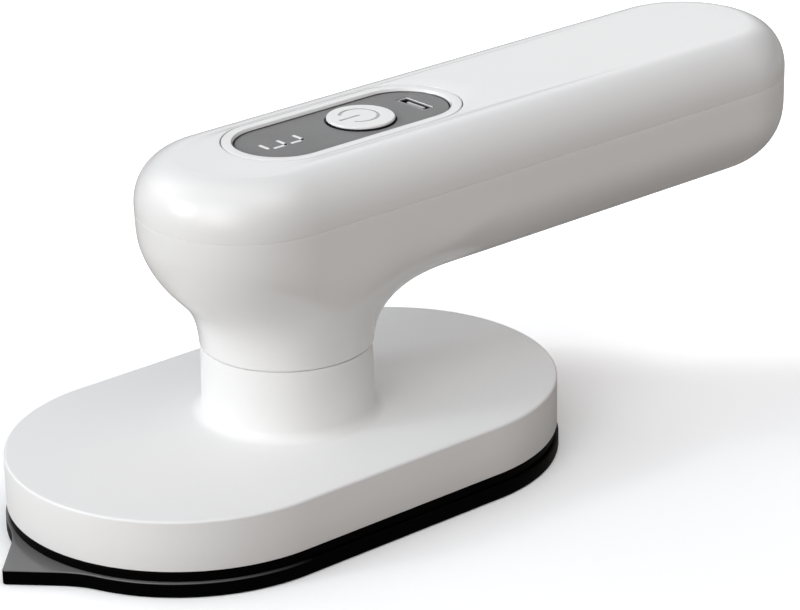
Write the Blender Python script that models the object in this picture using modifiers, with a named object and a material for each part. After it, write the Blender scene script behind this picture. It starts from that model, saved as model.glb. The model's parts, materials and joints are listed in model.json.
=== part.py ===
"""Mini handheld heat press.

A flat pressing head with a pointed sole, and a battery handle that swivels on the head's collar.
X runs along the press with the pointed tip at -X, Z is up, and the origin is the point of the
sole's face below the swivel axis. All lengths are in metres.
"""
import math
from collections import namedtuple

import bmesh
import bpy
import numpy as np

# Clearances shared by all pieces
GAP = 0.0003
OVERRUN = 0.002
SINK = 0.0004

# Pressing head: the white cover
COVER_LENGTH = 0.130
COVER_HALF_WIDTH = 0.0385
COVER_REAR_OVER_AXIS = 0.0645
COVER_WALL = 0.002
COVER_BOTTOM = 0.0057
COVER_TOP = 0.0168
COVER_EDGE_RADIUS = 0.0013
COVER_GROOVE_DEPTH = 0.0007
COVER_GROOVE_LOW = 0.0015
COVER_GROOVE_HEIGHT = 0.0023

# Collar on the cover
COLLAR_RADIUS = 0.0183
COLLAR_FOOT_RADIUS = 0.0185
COLLAR_FILLET = 0.0025
COLLAR_TOP = 0.0322
COLLAR_WALL = 0.0024
COLLAR_WEB = 0.0046

# Sole plate
SOLE_THICKNESS = 0.0028
SOLE_PROUD = 0.0003
SOLE_EDGE_RADIUS = 0.0004
TIP_REACH = 0.0096
TIP_HALF_ANGLE_DEG = 46.0
TIP_FLARE_RADIUS = 0.022
TIP_POINT_RADIUS = 0.0008
BED_INSET = 0.0119
BED_HEIGHT = 0.0027
SOLE_BOSS_RADIUS = 0.0024
SOLE_BOSS_HEIGHT = 0.0024
SOLE_SCREW_INSET = 0.0075
SOLE_SCREW_ANGLE_DEG = 50.0
SCREW_SHANK_RADIUS = 0.0010
SCREW_HEAD_RADIUS = 0.0031
SCREW_HEAD_HEIGHT = 0.0015
SOLE_SCREW_REACH = 0.0040

# Heat shield ring
SHIELD_THICKNESS = 0.0023
SHIELD_FLANGE = 0.0110
RIM_WALL = 0.0014
RIM_HEIGHT = 0.0042
RIM_BEAD = 0.0006
RIM_BEAD_LOW = 0.0018
RIM_BEAD_HEIGHT = 0.0016

# Heater stack on the heater bed
HEATER_RADIUS = 0.0015
HEATER_LEG_Y = 0.0160
HEATER_REAR_INSET = 0.0190
HEATER_END_COVER = 0.0015
CLAMP_THICKNESS = 0.0008
CLAMP_HALF_WIDTH = 0.0225
CLAMP_FRONT_INSET = 0.0155
CLAMP_REAR_INSET = 0.0260
CLAMP_BOSS_RADIUS = 0.0025
CLAMP_SCREW_FRONT_INSET = 0.0250
CLAMP_SCREW_REAR_INSET = 0.0135
PAD_THICKNESS = 0.0020
PAD_MARGIN = 0.0015
PAD_SCREW_HOLE = 0.0036
SENSOR_RADIUS = 0.0012
SENSOR_LENGTH = 0.0080
SENSOR_Y = -0.0070
FUSE_RADIUS = 0.0014
FUSE_LENGTH = 0.0115
FUSE_Y = 0.0070
FUSE_LEAD_RADIUS = 0.0005
FUSE_LEAD_LENGTH = 0.0040
CAPSULE_END_SHARE = 0.6

# Swivel
SHAFT_RADIUS = 0.0081
SHAFT_BORE = 0.0060
BUSH_WALL = 0.0015
BUSH_FLANGE_RADIUS = 0.0125
BUSH_FLANGE_HEIGHT = 0.0015
BUSH_SEAT_DEPTH = 0.0013
SHAFT_FLANGE_RADIUS = 0.0135
SHAFT_FLANGE_HEIGHT = 0.0020
SHAFT_TAIL = 0.0018
CLIP_THICKNESS = 0.0006
CLIP_RADIUS = 0.0115
CLIP_GROOVE_DEPTH = 0.0009
CLIP_MOUTH_DEG = 50.0
WAVE_THICKNESS = 0.0004
WAVE_HEIGHT = 0.0007
WAVE_INNER = 0.0085
WAVE_OUTER = 0.0120
WAVE_COUNT = 3
STOP_RADIUS = 0.0149
STOP_WIDTH = 0.0020
STOP_LENGTH = 0.0024
STOP_DEPTH = 0.0021
SWIVEL_TRAVEL_DEG = 90.0
PIVOT_SCREW_CIRCLE = 0.0111
PIVOT_SCREW_HEAD_RADIUS = 0.0019
PIVOT_SCREW_REACH = 0.0021

# Handle body
HANDLE_FRONT = -0.0328
HANDLE_REAR = 0.1416
HANDLE_HALF_WIDTH = 0.0232
HANDLE_BOTTOM = 0.0439
LOWER_SHELL_DEPTH = 0.0213
UPPER_SHELL_DEPTH = 0.0118
HANDLE_WALL = 0.0020
UPPER_EDGE_WIDTH = 0.0089
UPPER_EDGE_SHARE = 0.856
LOWER_EDGE_WIDTH = 0.0113
LOWER_EDGE_SHARE = 0.850
LOWER_EDGE_POWER = 1.64
UPPER_CROWN = 0.0003

# Flared neck of the handle
NECK_SEAM = 0.0325
NECK_RADIUS = 0.0183
NECK_FRONT_WIDTH = 0.0198
NECK_FRONT_HEIGHT = 0.0290
NECK_REAR_WIDTH = 0.0259
NECK_REAR_HEIGHT = 0.0210
NECK_BLEND = 0.0086
NECK_STEEPNESS = 50.0
NECK_FLOOR_RECESS = 0.0005
NECK_FLOOR = 0.0032

# Joint between the two handle shells
LIP_INSET = 0.0011
LIP_HEIGHT = 0.0012

# Handle screws and their bosses
HANDLE_SCREW_X = 0.0562
HANDLE_SCREW_Y = 0.0090
HANDLE_SCREW_REAR_INSET = 0.0078
HANDLE_BOSS_RADIUS = 0.0038
HANDLE_WELL_RADIUS = 0.0029
HANDLE_SEAT_DEPTH = 0.0081
HANDLE_PILOT_RADIUS = 0.0013
UPPER_BOSS_RADIUS = 0.0030
HANDLE_SCREW_HEAD_RADIUS = 0.0026
HANDLE_SCREW_BITE = 0.0065

# Control panel and its bezel
PANEL_FRONT = -0.0095
PANEL_REAR = 0.0434
PANEL_HALF_WIDTH = 0.00985
PANEL_THICKNESS = 0.0012
PANEL_DROP = 0.0003
BEZEL_WIDTH = 0.0026
BEZEL_SLOPE_WIDTH = 0.0008
POCKET_FLOOR = 0.0020
POCKET_PAD_MARGIN = 0.0014

# Power button and its switch
BUTTON_X = 0.0218
BUTTON_RADIUS = 0.00735
BUTTON_PROUD = 0.0005
BUTTON_EDGE_RADIUS = 0.0005
BUTTON_FLANGE = 0.0013
BUTTON_FLANGE_HEIGHT = 0.0012
BUTTON_TRAVEL = 0.0005
STEM_RADIUS = 0.0015
SWITCH_SIZE = 0.0060
SWITCH_HEIGHT = 0.0035
PLUNGER_RADIUS = 0.0017
PLUNGER_HEIGHT = 0.0010

# Charge port
PORT_X = 0.0371
PORT_WIDTH = 0.0090
PORT_DEPTH = 0.0032
PORT_WALL = 0.0004
PORT_RECESS = 0.0007
PORT_CAVITY_DEPTH = 0.0062
TONGUE_WIDTH = 0.0060
TONGUE_THICKNESS = 0.0007
TONGUE_DROP = 0.0006

# Main board
BOARD_DROP = 0.0016
BOARD_THICKNESS = 0.0016
BOARD_FRONT = -0.0240
BOARD_REAR = 0.0515
BOARD_HALF_WIDTH = 0.0170
POST_RADIUS = 0.0021
POST_PILOT_RADIUS = 0.0013
POST_PILOT_DEPTH = 0.0050
POST_FRONT_X = -0.0150
POST_REAR_X = 0.0475
POST_Y = 0.0115
BOARD_SCREW_HEAD_RADIUS = 0.0018
BOARD_SCREW_HEAD_HEIGHT = 0.0012
BOARD_SCREW_REACH = 0.0060

# Indicator lights
LIGHT_X = 0.0010
LIGHT_PITCH = 0.0045
LED_LENGTH = 0.0016
LED_WIDTH = 0.0012
LED_HEIGHT = 0.0007
GUIDE_THICKNESS = 0.0020
GUIDE_FOOT_WIDTH = 0.0024
GUIDE_FOOT_LENGTH = 0.0060

# Battery
CELL_SIDE_ROOM = 0.00465
CELL_FRONT_ROOM = 0.0013
CELL_REAR_ROOM = 0.0158
CELL_HEIGHT_SHARE = 0.5015
CELL_EDGE_RADIUS = 0.0008
CRADLE_FLOOR = 0.0014
CRADLE_SIDE_ROOM = 0.0032
CRADLE_WALL = 0.0030
CRADLE_HEIGHT = 0.0100
CRADLE_FRONT_MARGIN = 0.0060
STRIP_THICKNESS = 0.0005
STRIP_WIDTH = 0.0080
TAB_LENGTH = 0.0090

# Leads inside the swivel
BUNDLE_RADIUS = 0.0020
CONNECTOR_SIZE = 0.0070
CONNECTOR_HEIGHT = 0.0050
BUNDLE_END = 0.0200
LEAD_RADIUS = 0.0008
LEAD_SPREAD = 0.0011
LEAD_BEND = 0.0030

# Numbers of facets
BASE_STEPS = 16
HANDLE_COLUMNS = 60
HANDLE_ROWS = 13
DENSE_ROWS = 240
UPPER_STEPS = 15
EDGE_STEPS = 6
PANEL_STEPS = 12
ROUND_STEPS = 24
SCREW_STEPS = 10
COLLAR_STEPS = 36

HALF_TURN = math.pi
FULL_TURN = 2 * math.pi
QUARTER_TURN = math.pi / 2
MERGE = 0.00001
SMOOTH_ANGLE = math.radians(38)
COLLAR_FILLET_SWEEP = math.radians(84)

Outline = namedtuple("Outline", "front rear radius")

# Heights and outlines that several pieces share
COVER = Outline(COVER_REAR_OVER_AXIS - COVER_LENGTH, COVER_REAR_OVER_AXIS, COVER_HALF_WIDTH)
HANDLE = Outline(HANDLE_FRONT, HANDLE_REAR, HANDLE_HALF_WIDTH)
PANEL = Outline(PANEL_FRONT, PANEL_REAR, PANEL_HALF_WIDTH)
BOARD = Outline(BOARD_FRONT, BOARD_REAR, BOARD_HALF_WIDTH)
CLAMP = Outline(COVER.front + CLAMP_FRONT_INSET, COVER.rear - CLAMP_REAR_INSET, CLAMP_HALF_WIDTH)
HEATER_REAR = COVER.rear - HEATER_REAR_INSET
SHIELD_BOTTOM = SOLE_THICKNESS + GAP
SHIELD_TOP = SHIELD_BOTTOM + SHIELD_THICKNESS
BED_TOP = SOLE_THICKNESS + BED_HEIGHT
HEATER_HEIGHT = BED_TOP + GAP + HEATER_RADIUS
CLAMP_BOTTOM = HEATER_HEIGHT + HEATER_RADIUS + GAP
CLAMP_TOP = CLAMP_BOTTOM + CLAMP_THICKNESS
PAD_BOTTOM = CLAMP_TOP + GAP
PAD_TOP = PAD_BOTTOM + PAD_THICKNESS
COVER_ROOF = COVER_TOP - COVER_WALL
WEB_BOTTOM = COLLAR_TOP - COLLAR_WEB
BUSH_BORE = SHAFT_RADIUS + GAP
BUSH_RADIUS = BUSH_BORE + BUSH_WALL
BUSH_SEAT = COLLAR_TOP - BUSH_SEAT_DEPTH
BUSH_FLANGE_BOTTOM = BUSH_SEAT + GAP
BUSH_TOP = BUSH_FLANGE_BOTTOM + BUSH_FLANGE_HEIGHT
FLOOR_BOTTOM = NECK_SEAM + NECK_FLOOR_RECESS
FLOOR_TOP = FLOOR_BOTTOM + NECK_FLOOR
SHAFT_FLANGE_BOTTOM = FLOOR_TOP + GAP
SHAFT_TOP = SHAFT_FLANGE_BOTTOM + SHAFT_FLANGE_HEIGHT
WAVE_HALF = WAVE_HEIGHT + WAVE_THICKNESS / 2
WAVE_MIDDLE = WEB_BOTTOM - GAP - WAVE_HALF
CLIP_TOP = WAVE_MIDDLE - WAVE_HALF - GAP
CLIP_BOTTOM = CLIP_TOP - CLIP_THICKNESS
SHAFT_BOTTOM = CLIP_BOTTOM - SHAFT_TAIL
PARTING_HEIGHT = HANDLE_BOTTOM + LOWER_SHELL_DEPTH
HANDLE_TOP = PARTING_HEIGHT + UPPER_SHELL_DEPTH
LOWER_EDGE_HEIGHT = LOWER_SHELL_DEPTH * LOWER_EDGE_SHARE
UPPER_EDGE_HEIGHT = UPPER_SHELL_DEPTH * UPPER_EDGE_SHARE
HANDLE_SEAT_HEIGHT = HANDLE_BOTTOM + HANDLE_SEAT_DEPTH
BOARD_TOP = PARTING_HEIGHT - BOARD_DROP
CELL_HEIGHT = HANDLE_BOTTOM + (HANDLE_TOP - HANDLE_BOTTOM) * CELL_HEIGHT_SHARE
POCKET_HALF_WIDTH = PANEL_HALF_WIDTH + GAP + BEZEL_WIDTH + GAP
PANEL_TOP = HANDLE_TOP - PANEL_DROP
PANEL_BOTTOM = PANEL_TOP - PANEL_THICKNESS
POCKET_BOTTOM = PANEL_BOTTOM - GAP
PAD_UNDER_POCKET = POCKET_BOTTOM - POCKET_FLOOR
LOWER_RIM = PARTING_HEIGHT - GAP / 2
UPPER_RIM = PARTING_HEIGHT + GAP / 2
BOARD_BOTTOM = BOARD_TOP - BOARD_THICKNESS
CELL_RADIUS = (HANDLE_HALF_WIDTH - CELL_SIDE_ROOM - GAP / 2) / 2
CELL_SPACING = 2 * CELL_RADIUS + GAP
CELL_FRONT = HANDLE_SCREW_X + HANDLE_BOSS_RADIUS + CELL_FRONT_ROOM
CELL_REAR = HANDLE_REAR - CELL_REAR_ROOM
CELL_LENGTH = CELL_REAR - CELL_FRONT
HANDLE_SCREWS = (
    (HANDLE_SCREW_X, HANDLE_SCREW_Y),
    (HANDLE_SCREW_X, -HANDLE_SCREW_Y),
    (HANDLE_REAR - HANDLE_SCREW_REAR_INSET, 0),
)
POSTS = (
    (POST_FRONT_X, POST_Y),
    (POST_FRONT_X, -POST_Y),
    (POST_REAR_X, POST_Y),
    (POST_REAR_X, -POST_Y),
)
CLAMP_SCREWS = (
    (CLAMP.front + CLAMP_SCREW_FRONT_INSET, 0),
    (CLAMP.rear - CLAMP_SCREW_REAR_INSET, 0),
)
PIVOT_SCREW_ANGLES = [HALF_TURN / 3 + FULL_TURN * turn / 3 for turn in range(3)]


def clear_scene():
    """Remove every object, so that the model starts from an empty scene."""
    for item in list(bpy.data.objects):
        bpy.data.objects.remove(item, do_unlink=True)


def new_collection(name):
    """Return a new collection linked to the scene."""
    collection = bpy.data.collections.new(name)
    bpy.context.scene.collection.children.link(collection)
    return collection


clear_scene()
PARTS = new_collection("mini_heat_press")
CUTTERS = new_collection("cutters")


def material(name, colour, roughness, metallic=0.0):
    """Return a Principled material of one colour."""
    made = bpy.data.materials.new(name)
    made.use_nodes = True
    shader = made.node_tree.nodes["Principled BSDF"]
    shader.inputs["Base Color"].default_value = (*colour, 1.0)
    shader.inputs["Roughness"].default_value = roughness
    shader.inputs["Metallic"].default_value = metallic
    return made


WHITE_GLOSS = material("white_gloss_plastic", (0.86, 0.86, 0.85), 0.18)
WHITE_SATIN = material("white_satin_plastic", (0.84, 0.84, 0.83), 0.38)
BLACK_COAT = material("black_coated_aluminium", (0.012, 0.012, 0.013), 0.22)
BLACK_RESIN = material("black_heat_resin", (0.015, 0.015, 0.016), 0.35)
PANEL_GREY = material("grey_panel_plastic", (0.25, 0.25, 0.25), 0.45)
STEEL = material("bright_steel", (0.62, 0.62, 0.62), 0.30, 1.0)
HEATER_STEEL = material("heater_sheath", (0.35, 0.33, 0.31), 0.45, 1.0)
BUSH_RESIN = material("bush_resin", (0.55, 0.54, 0.50), 0.50)
FIBRE = material("insulation_fibre", (0.70, 0.66, 0.58), 0.95)
CERAMIC = material("sensor_ceramic", (0.80, 0.78, 0.72), 0.60)
BOARD_GREEN = material("board_laminate", (0.03, 0.16, 0.07), 0.50)
BLACK_PLASTIC = material("black_plastic", (0.02, 0.02, 0.02), 0.50)
CELL_BLUE = material("cell_sleeve", (0.06, 0.22, 0.45), 0.40)
NICKEL = material("nickel_strip", (0.60, 0.58, 0.52), 0.35, 1.0)
CLEAR = material("light_guide_resin", (0.85, 0.87, 0.88), 0.20)
LED_WHITE = material("led_package", (0.90, 0.88, 0.75), 0.40)
SILICONE = material("silicone_sleeve", (0.45, 0.05, 0.04), 0.60)


def add_object(name, mesh, finish, is_cutter=False):
    """Put a mesh into the scene as a part, or as a hidden tool for a Boolean."""
    mesh.materials.append(finish)
    item = bpy.data.objects.new(name, mesh)
    if is_cutter:
        CUTTERS.objects.link(item)
        item.hide_render = True
        item.display_type = "WIRE"
    else:
        PARTS.objects.link(item)
    return item


def finish_mesh(name, bm, finish, is_cutter=False):
    """Turn a bmesh into an object with outward faces and smooth rounds."""
    bmesh.ops.recalc_face_normals(bm, faces=bm.faces)
    mesh = bpy.data.meshes.new(name)
    bm.to_mesh(mesh)
    bm.free()
    mesh.shade_smooth()
    mesh.set_sharp_from_angle(angle=SMOOTH_ANGLE)
    return add_object(name, mesh, finish, is_cutter)


def loft(name, rings, finish, is_ring=False, is_cutter=False):
    """Join equal rings of points by quads, with flat ends or closed on itself."""
    bm = bmesh.new()
    rows = [[bm.verts.new(point) for point in ring] for ring in rings]
    count = len(rows[0])
    pairs = list(zip(rows, rows[1:]))
    if is_ring:
        pairs.append((rows[-1], rows[0]))
    else:
        bm.faces.new(rows[0])
        bm.faces.new(rows[-1])
    for low, high in pairs:
        for here in range(count):
            there = (here + 1) % count
            bm.faces.new((low[here], low[there], high[there], high[here]))
    return finish_mesh(name, bm, finish, is_cutter)


def ring(outline, inset, height, steps):
    """Points of an outline with two round ends, moved in by inset."""
    radius = outline.radius - inset
    front = outline.front + outline.radius
    rear = outline.rear - outline.radius
    turns = np.linspace(0, HALF_TURN, steps + 1)
    rear_arc = [(rear + radius * math.sin(a), -radius * math.cos(a), height) for a in turns]
    front_arc = [(front - radius * math.sin(a), radius * math.cos(a), height) for a in turns]
    return rear_arc + front_arc


def swept(name, outline, profile, steps, finish, is_ring=False, is_cutter=False):
    """Carry a profile of (inset, height) pairs round an outline."""
    rings = [ring(outline, inset, height, steps) for inset, height in profile]
    return loft(name, rings, finish, is_ring, is_cutter)


def turned(name, profile, steps, finish, place=(0, 0, 0), is_cutter=False, is_ring=False):
    """Turn a profile of (radius, height) pairs round Z; it runs down its outer side."""
    mesh = bpy.data.meshes.new(name)
    edges = [(here, here + 1) for here in range(len(profile) - 1)]
    if is_ring:
        edges.append((len(profile) - 1, 0))
    mesh.from_pydata([(radius, 0, height) for radius, height in profile], edges, [])
    item = add_object(name, mesh, finish, is_cutter)
    item.location = place
    screw = item.modifiers.new("turn", "SCREW")
    screw.steps = steps
    screw.render_steps = steps
    screw.use_merge_vertices = True
    screw.merge_threshold = MERGE
    screw.use_smooth_shade = False
    return item


def pin(name, radius, low, high, finish, place=(0, 0), steps=ROUND_STEPS, is_cutter=False):
    """A plain upright cylinder between two heights."""
    bm = bmesh.new()
    bmesh.ops.create_cone(bm, cap_ends=True, segments=steps, radius1=radius, radius2=radius,
                          depth=high - low)
    bmesh.ops.translate(bm, verts=bm.verts, vec=(place[0], place[1], (low + high) / 2))
    return finish_mesh(name, bm, finish, is_cutter)


def box(name, low, high, finish, is_cutter=False):
    """A box between two corners, started from a unit cube."""
    bm = bmesh.new()
    bmesh.ops.create_cube(bm, size=1)
    for vert in bm.verts:
        vert.co = [low[k] + (high[k] - low[k]) * (vert.co[k] + 0.5) for k in range(3)]
    return finish_mesh(name, bm, finish, is_cutter)


def centred_box(name, middle, sides, finish, is_cutter=False):
    """A box of three sides round a middle point."""
    low = [middle[k] - sides[k] / 2 for k in range(3)]
    high = [middle[k] + sides[k] / 2 for k in range(3)]
    return box(name, low, high, finish, is_cutter)


def boolean(item, tool, operation):
    """Cut a tool from an object or join it on."""
    step = item.modifiers.new(tool.name, "BOOLEAN")
    step.object = tool
    step.operation = operation
    step.solver = "EXACT"


def cut(item, *tools):
    """Cut tools from an object."""
    for tool in tools:
        boolean(item, tool, "DIFFERENCE")


def fuse(item, *tools):
    """Join tools to an object."""
    for tool in tools:
        boolean(item, tool, "UNION")


def arc(middle_x, middle_y, radius, start, end, steps):
    """Points on an arc, from one angle to another."""
    angles = np.linspace(start, end, steps + 1)
    return [(middle_x + radius * math.cos(a), middle_y + radius * math.sin(a)) for a in angles]


def screw_piece(name, place, seat, head_radius, head_height, reach, points_up=False):
    """A screw whose head rests on a seat; the shank runs down from it, or up."""
    way = -1 if points_up else 1
    head_end = seat + way * (GAP + head_height)
    head_seat = seat + way * GAP
    tip = seat - way * reach
    profile = [
        (0, head_end),
        (head_radius, head_end),
        (head_radius, head_seat),
        (SCREW_SHANK_RADIUS, head_seat),
        (SCREW_SHANK_RADIUS, tip),
        (0, tip),
    ]
    if points_up:
        profile.reverse()
    return turned(name, profile, SCREW_STEPS, STEEL, (place[0], place[1], 0))


def rounded_route(corners, bend, steps=4):
    """Replace each corner of a route by a short curve through the points bend away."""
    corners = [np.array(corner, dtype=float) for corner in corners]
    route = [corners[0]]
    for before, corner, after in zip(corners, corners[1:], corners[2:]):
        start = corner + (before - corner) * (bend / np.linalg.norm(before - corner))
        end = corner + (after - corner) * (bend / np.linalg.norm(after - corner))
        for share in np.linspace(0, 1, steps + 1):
            first = start + (corner - start) * share
            second = corner + (end - corner) * share
            route.append(first + (second - first) * share)
    route.append(corners[-1])
    return route


def wire(name, route, radius, finish):
    """A round tube with flat ends along a route of points."""
    curve = bpy.data.curves.new(name, "CURVE")
    curve.dimensions = "3D"
    curve.bevel_depth = radius
    curve.bevel_resolution = 2
    curve.use_fill_caps = True
    spline = curve.splines.new("POLY")
    spline.points.add(len(route) - 1)
    for point, place in zip(spline.points, route):
        point.co = (*place, 1)
    curve.materials.append(finish)
    item = bpy.data.objects.new(name, curve)
    PARTS.objects.link(item)
    return item


def base_screw_places():
    """Places of the four screws that hold the heat shield to the sole."""
    reach = COVER_HALF_WIDTH - SOLE_SCREW_INSET
    along = reach * math.cos(math.radians(SOLE_SCREW_ANGLE_DEG))
    across = reach * math.sin(math.radians(SOLE_SCREW_ANGLE_DEG))
    front = COVER.front + COVER.radius - along
    rear = COVER.rear - COVER.radius + along
    return [(x, y) for x in (front, rear) for y in (across, -across)]


def tip_side(radius):
    """Half of the pointed tip, from the round outline to the point, about the front arc's middle.

    A concave arc touches both the outline and the straight flank of the tip.
    """
    apex = -(radius + TIP_REACH)
    angle = math.radians(TIP_HALF_ANGLE_DEG)
    along = np.array((math.cos(angle), math.sin(angle)))
    out = np.array((-math.sin(angle), math.cos(angle)))
    start = np.array((apex, 0)) + TIP_FLARE_RADIUS * out
    reach = radius + TIP_FLARE_RADIUS
    half = start @ along
    slide = -half - math.sqrt(half**2 - (start @ start - reach**2))
    middle = start + slide * along
    angle_at_outline = math.atan2(-middle[1], -middle[0])
    angle_at_flank = math.atan2(-out[1], -out[0])
    flare = arc(middle[0], middle[1], TIP_FLARE_RADIUS, angle_at_outline, angle_at_flank, 6)
    back = TIP_POINT_RADIUS / math.sin(angle)
    turn = np.linspace(QUARTER_TURN + angle, HALF_TURN, 3)
    nose = [
        (apex + back + TIP_POINT_RADIUS * math.cos(a), TIP_POINT_RADIUS * math.sin(a))
        for a in turn
    ]
    return flare, nose


def sole_outline(inset):
    """Outline of the sole plate: two round ends, with a pointed tip at the front."""
    radius = COVER.radius + SOLE_PROUD - inset
    front = COVER.front + COVER.radius
    rear = COVER.rear - COVER.radius
    flare, nose = tip_side(radius)
    meeting = math.atan2(flare[0][1], flare[0][0])
    rear_arc = arc(rear, 0, radius, -QUARTER_TURN, QUARTER_TURN, BASE_STEPS)
    side_arc = arc(0, 0, radius, QUARTER_TURN, meeting, BASE_STEPS // 2)[:-1]
    half = side_arc + flare + nose
    mirrored = [(x, -y) for x, y in reversed(half[:-1])]
    return rear_arc + [(front + x, y) for x, y in half + mirrored]


def make_sole_plate():
    """Cast sole with its pointed tip, heater bed and screw bosses."""
    levels = (
        (SOLE_EDGE_RADIUS, 0),
        (0, SOLE_EDGE_RADIUS),
        (0, SOLE_THICKNESS - SOLE_EDGE_RADIUS / 2),
        (SOLE_EDGE_RADIUS / 2, SOLE_THICKNESS),
    )
    rings = [[(x, y, height) for x, y in sole_outline(inset)] for inset, height in levels]
    sole = loft("sole_plate", rings, BLACK_COAT)
    bed_profile = [(BED_INSET, SOLE_THICKNESS - SINK), (BED_INSET, BED_TOP)]
    fuse(sole, swept("bed", COVER, bed_profile, BASE_STEPS, BLACK_COAT, is_cutter=True))
    boss_top = SOLE_THICKNESS + SOLE_BOSS_HEIGHT
    for number, place in enumerate(base_screw_places()):
        boss = pin(f"sole_boss_{number}", SOLE_BOSS_RADIUS, SOLE_THICKNESS - SINK, boss_top,
                   BLACK_COAT, place, is_cutter=True)
        fuse(sole, boss)
        hole = pin(f"sole_hole_{number}", SCREW_SHANK_RADIUS + GAP,
                   SHIELD_TOP - SOLE_SCREW_REACH - GAP, boss_top + OVERRUN, BLACK_COAT, place,
                   SCREW_STEPS, True)
        cut(sole, hole)
    for number, place in enumerate(CLAMP_SCREWS):
        boss = pin(f"clamp_boss_{number}", CLAMP_BOSS_RADIUS, BED_TOP - SINK, CLAMP_BOTTOM - GAP,
                   BLACK_COAT, place, is_cutter=True)
        fuse(sole, boss)
        hole = pin(f"clamp_hole_{number}", SCREW_SHANK_RADIUS + GAP,
                   CLAMP_TOP - SOLE_SCREW_REACH - GAP, CLAMP_BOTTOM + OVERRUN, BLACK_COAT, place,
                   SCREW_STEPS, True)
        cut(sole, hole)


def make_heat_shield():
    """Black ring between the sole and the cover, with the rim that the cover snaps on."""
    rim_outer = COVER_WALL + GAP
    rim_inner = rim_outer + RIM_WALL
    bead_low = COVER_BOTTOM + RIM_BEAD_LOW
    bead_high = bead_low + RIM_BEAD_HEIGHT
    profile = [
        (-SOLE_PROUD, SHIELD_BOTTOM),
        (-SOLE_PROUD, SHIELD_TOP),
        (rim_outer, SHIELD_TOP),
        (rim_outer, bead_low),
        (rim_outer - RIM_BEAD, (bead_low + bead_high) / 2),
        (rim_outer, bead_high),
        (rim_outer, SHIELD_TOP + RIM_HEIGHT),
        (rim_inner, SHIELD_TOP + RIM_HEIGHT),
        (rim_inner, SHIELD_TOP),
        (SHIELD_FLANGE, SHIELD_TOP),
        (SHIELD_FLANGE, SHIELD_BOTTOM),
    ]
    shield = swept("heat_shield", COVER, profile, BASE_STEPS, BLACK_RESIN, is_ring=True)
    for number, place in enumerate(base_screw_places()):
        hole = pin(f"shield_hole_{number}", SOLE_BOSS_RADIUS + GAP, SHIELD_BOTTOM - OVERRUN,
                   SHIELD_TOP + OVERRUN, BLACK_RESIN, place, is_cutter=True)
        cut(shield, hole)
        screw_piece(f"sole_screw_{number + 1}", place, SHIELD_TOP, SCREW_HEAD_RADIUS,
                    SCREW_HEAD_HEIGHT, SOLE_SCREW_REACH)


def make_base_cover():
    """White cover with its collar, the swivel web and the groove of the swivel's stop."""
    groove_low = COVER_BOTTOM + COVER_GROOVE_LOW
    groove_high = groove_low + COVER_GROOVE_HEIGHT
    groove_inset = COVER_WALL - COVER_GROOVE_DEPTH
    slope = COVER_GROOVE_DEPTH / 2
    profile = [
        (COVER_WALL + COVER_EDGE_RADIUS, COVER_ROOF),
        (COVER_WALL, COVER_ROOF - COVER_EDGE_RADIUS),
        (COVER_WALL, groove_high),
        (groove_inset, groove_high - slope),
        (groove_inset, groove_low + slope),
        (COVER_WALL, groove_low),
        (COVER_WALL, COVER_BOTTOM),
        (0, COVER_BOTTOM),
    ]
    for a in np.linspace(0, QUARTER_TURN, 4):
        inset = COVER_EDGE_RADIUS * (1 - math.cos(a))
        profile.append((inset, COVER_TOP - COVER_EDGE_RADIUS * (1 - math.sin(a))))
    cover = swept("base_cover", COVER, profile, BASE_STEPS, WHITE_SATIN)
    cut(cover, pin("roof_hole", COLLAR_RADIUS - COLLAR_WALL / 2, COVER_ROOF - OVERRUN,
                   COVER_TOP + OVERRUN, WHITE_SATIN, steps=COLLAR_STEPS, is_cutter=True))
    fuse(cover, make_collar())
    cut(cover, stop_groove())


def make_collar():
    """Collar with its foot fillet outside, and the web and seat for the swivel's bush inside."""
    foot = COLLAR_FOOT_RADIUS + COLLAR_FILLET
    inner = COLLAR_RADIUS - COLLAR_WALL
    seat_radius = BUSH_FLANGE_RADIUS + GAP
    bore_radius = BUSH_RADIUS + GAP
    root = COVER_ROOF + COVER_WALL / 2
    profile = [(COLLAR_RADIUS, COLLAR_TOP)]
    for a in np.linspace(0, COLLAR_FILLET_SWEEP, 5):
        profile.append((foot - COLLAR_FILLET * math.cos(a),
                        COVER_TOP + COLLAR_FILLET * (1 - math.sin(a))))
    profile += [
        (foot, root),
        (inner, root),
        (inner, WEB_BOTTOM),
        (bore_radius, WEB_BOTTOM),
        (bore_radius, BUSH_SEAT),
        (seat_radius, BUSH_SEAT),
        (seat_radius, COLLAR_TOP),
    ]
    return turned("collar", profile, COLLAR_STEPS, WHITE_SATIN, is_cutter=True, is_ring=True)


def stop_groove():
    """Curved groove in the collar's top, as long as the swivel's travel and its stop."""
    inner = STOP_RADIUS - STOP_WIDTH / 2 - GAP
    outer = STOP_RADIUS + STOP_WIDTH / 2 + GAP
    lug = math.asin((STOP_LENGTH / 2 + GAP) / (STOP_RADIUS - STOP_WIDTH / 2))
    reach = math.radians(SWIVEL_TRAVEL_DEG) + lug
    low = COLLAR_TOP - STOP_DEPTH
    high = COLLAR_TOP + OVERRUN
    rings = []
    for a in np.linspace(HALF_TURN - reach, HALF_TURN + reach, ROUND_STEPS):
        across = ((inner, low), (outer, low), (outer, high), (inner, high))
        rings.append([(r * math.cos(a), r * math.sin(a), z) for r, z in across])
    return loft("stop_groove", rings, WHITE_SATIN, is_cutter=True)


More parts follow.
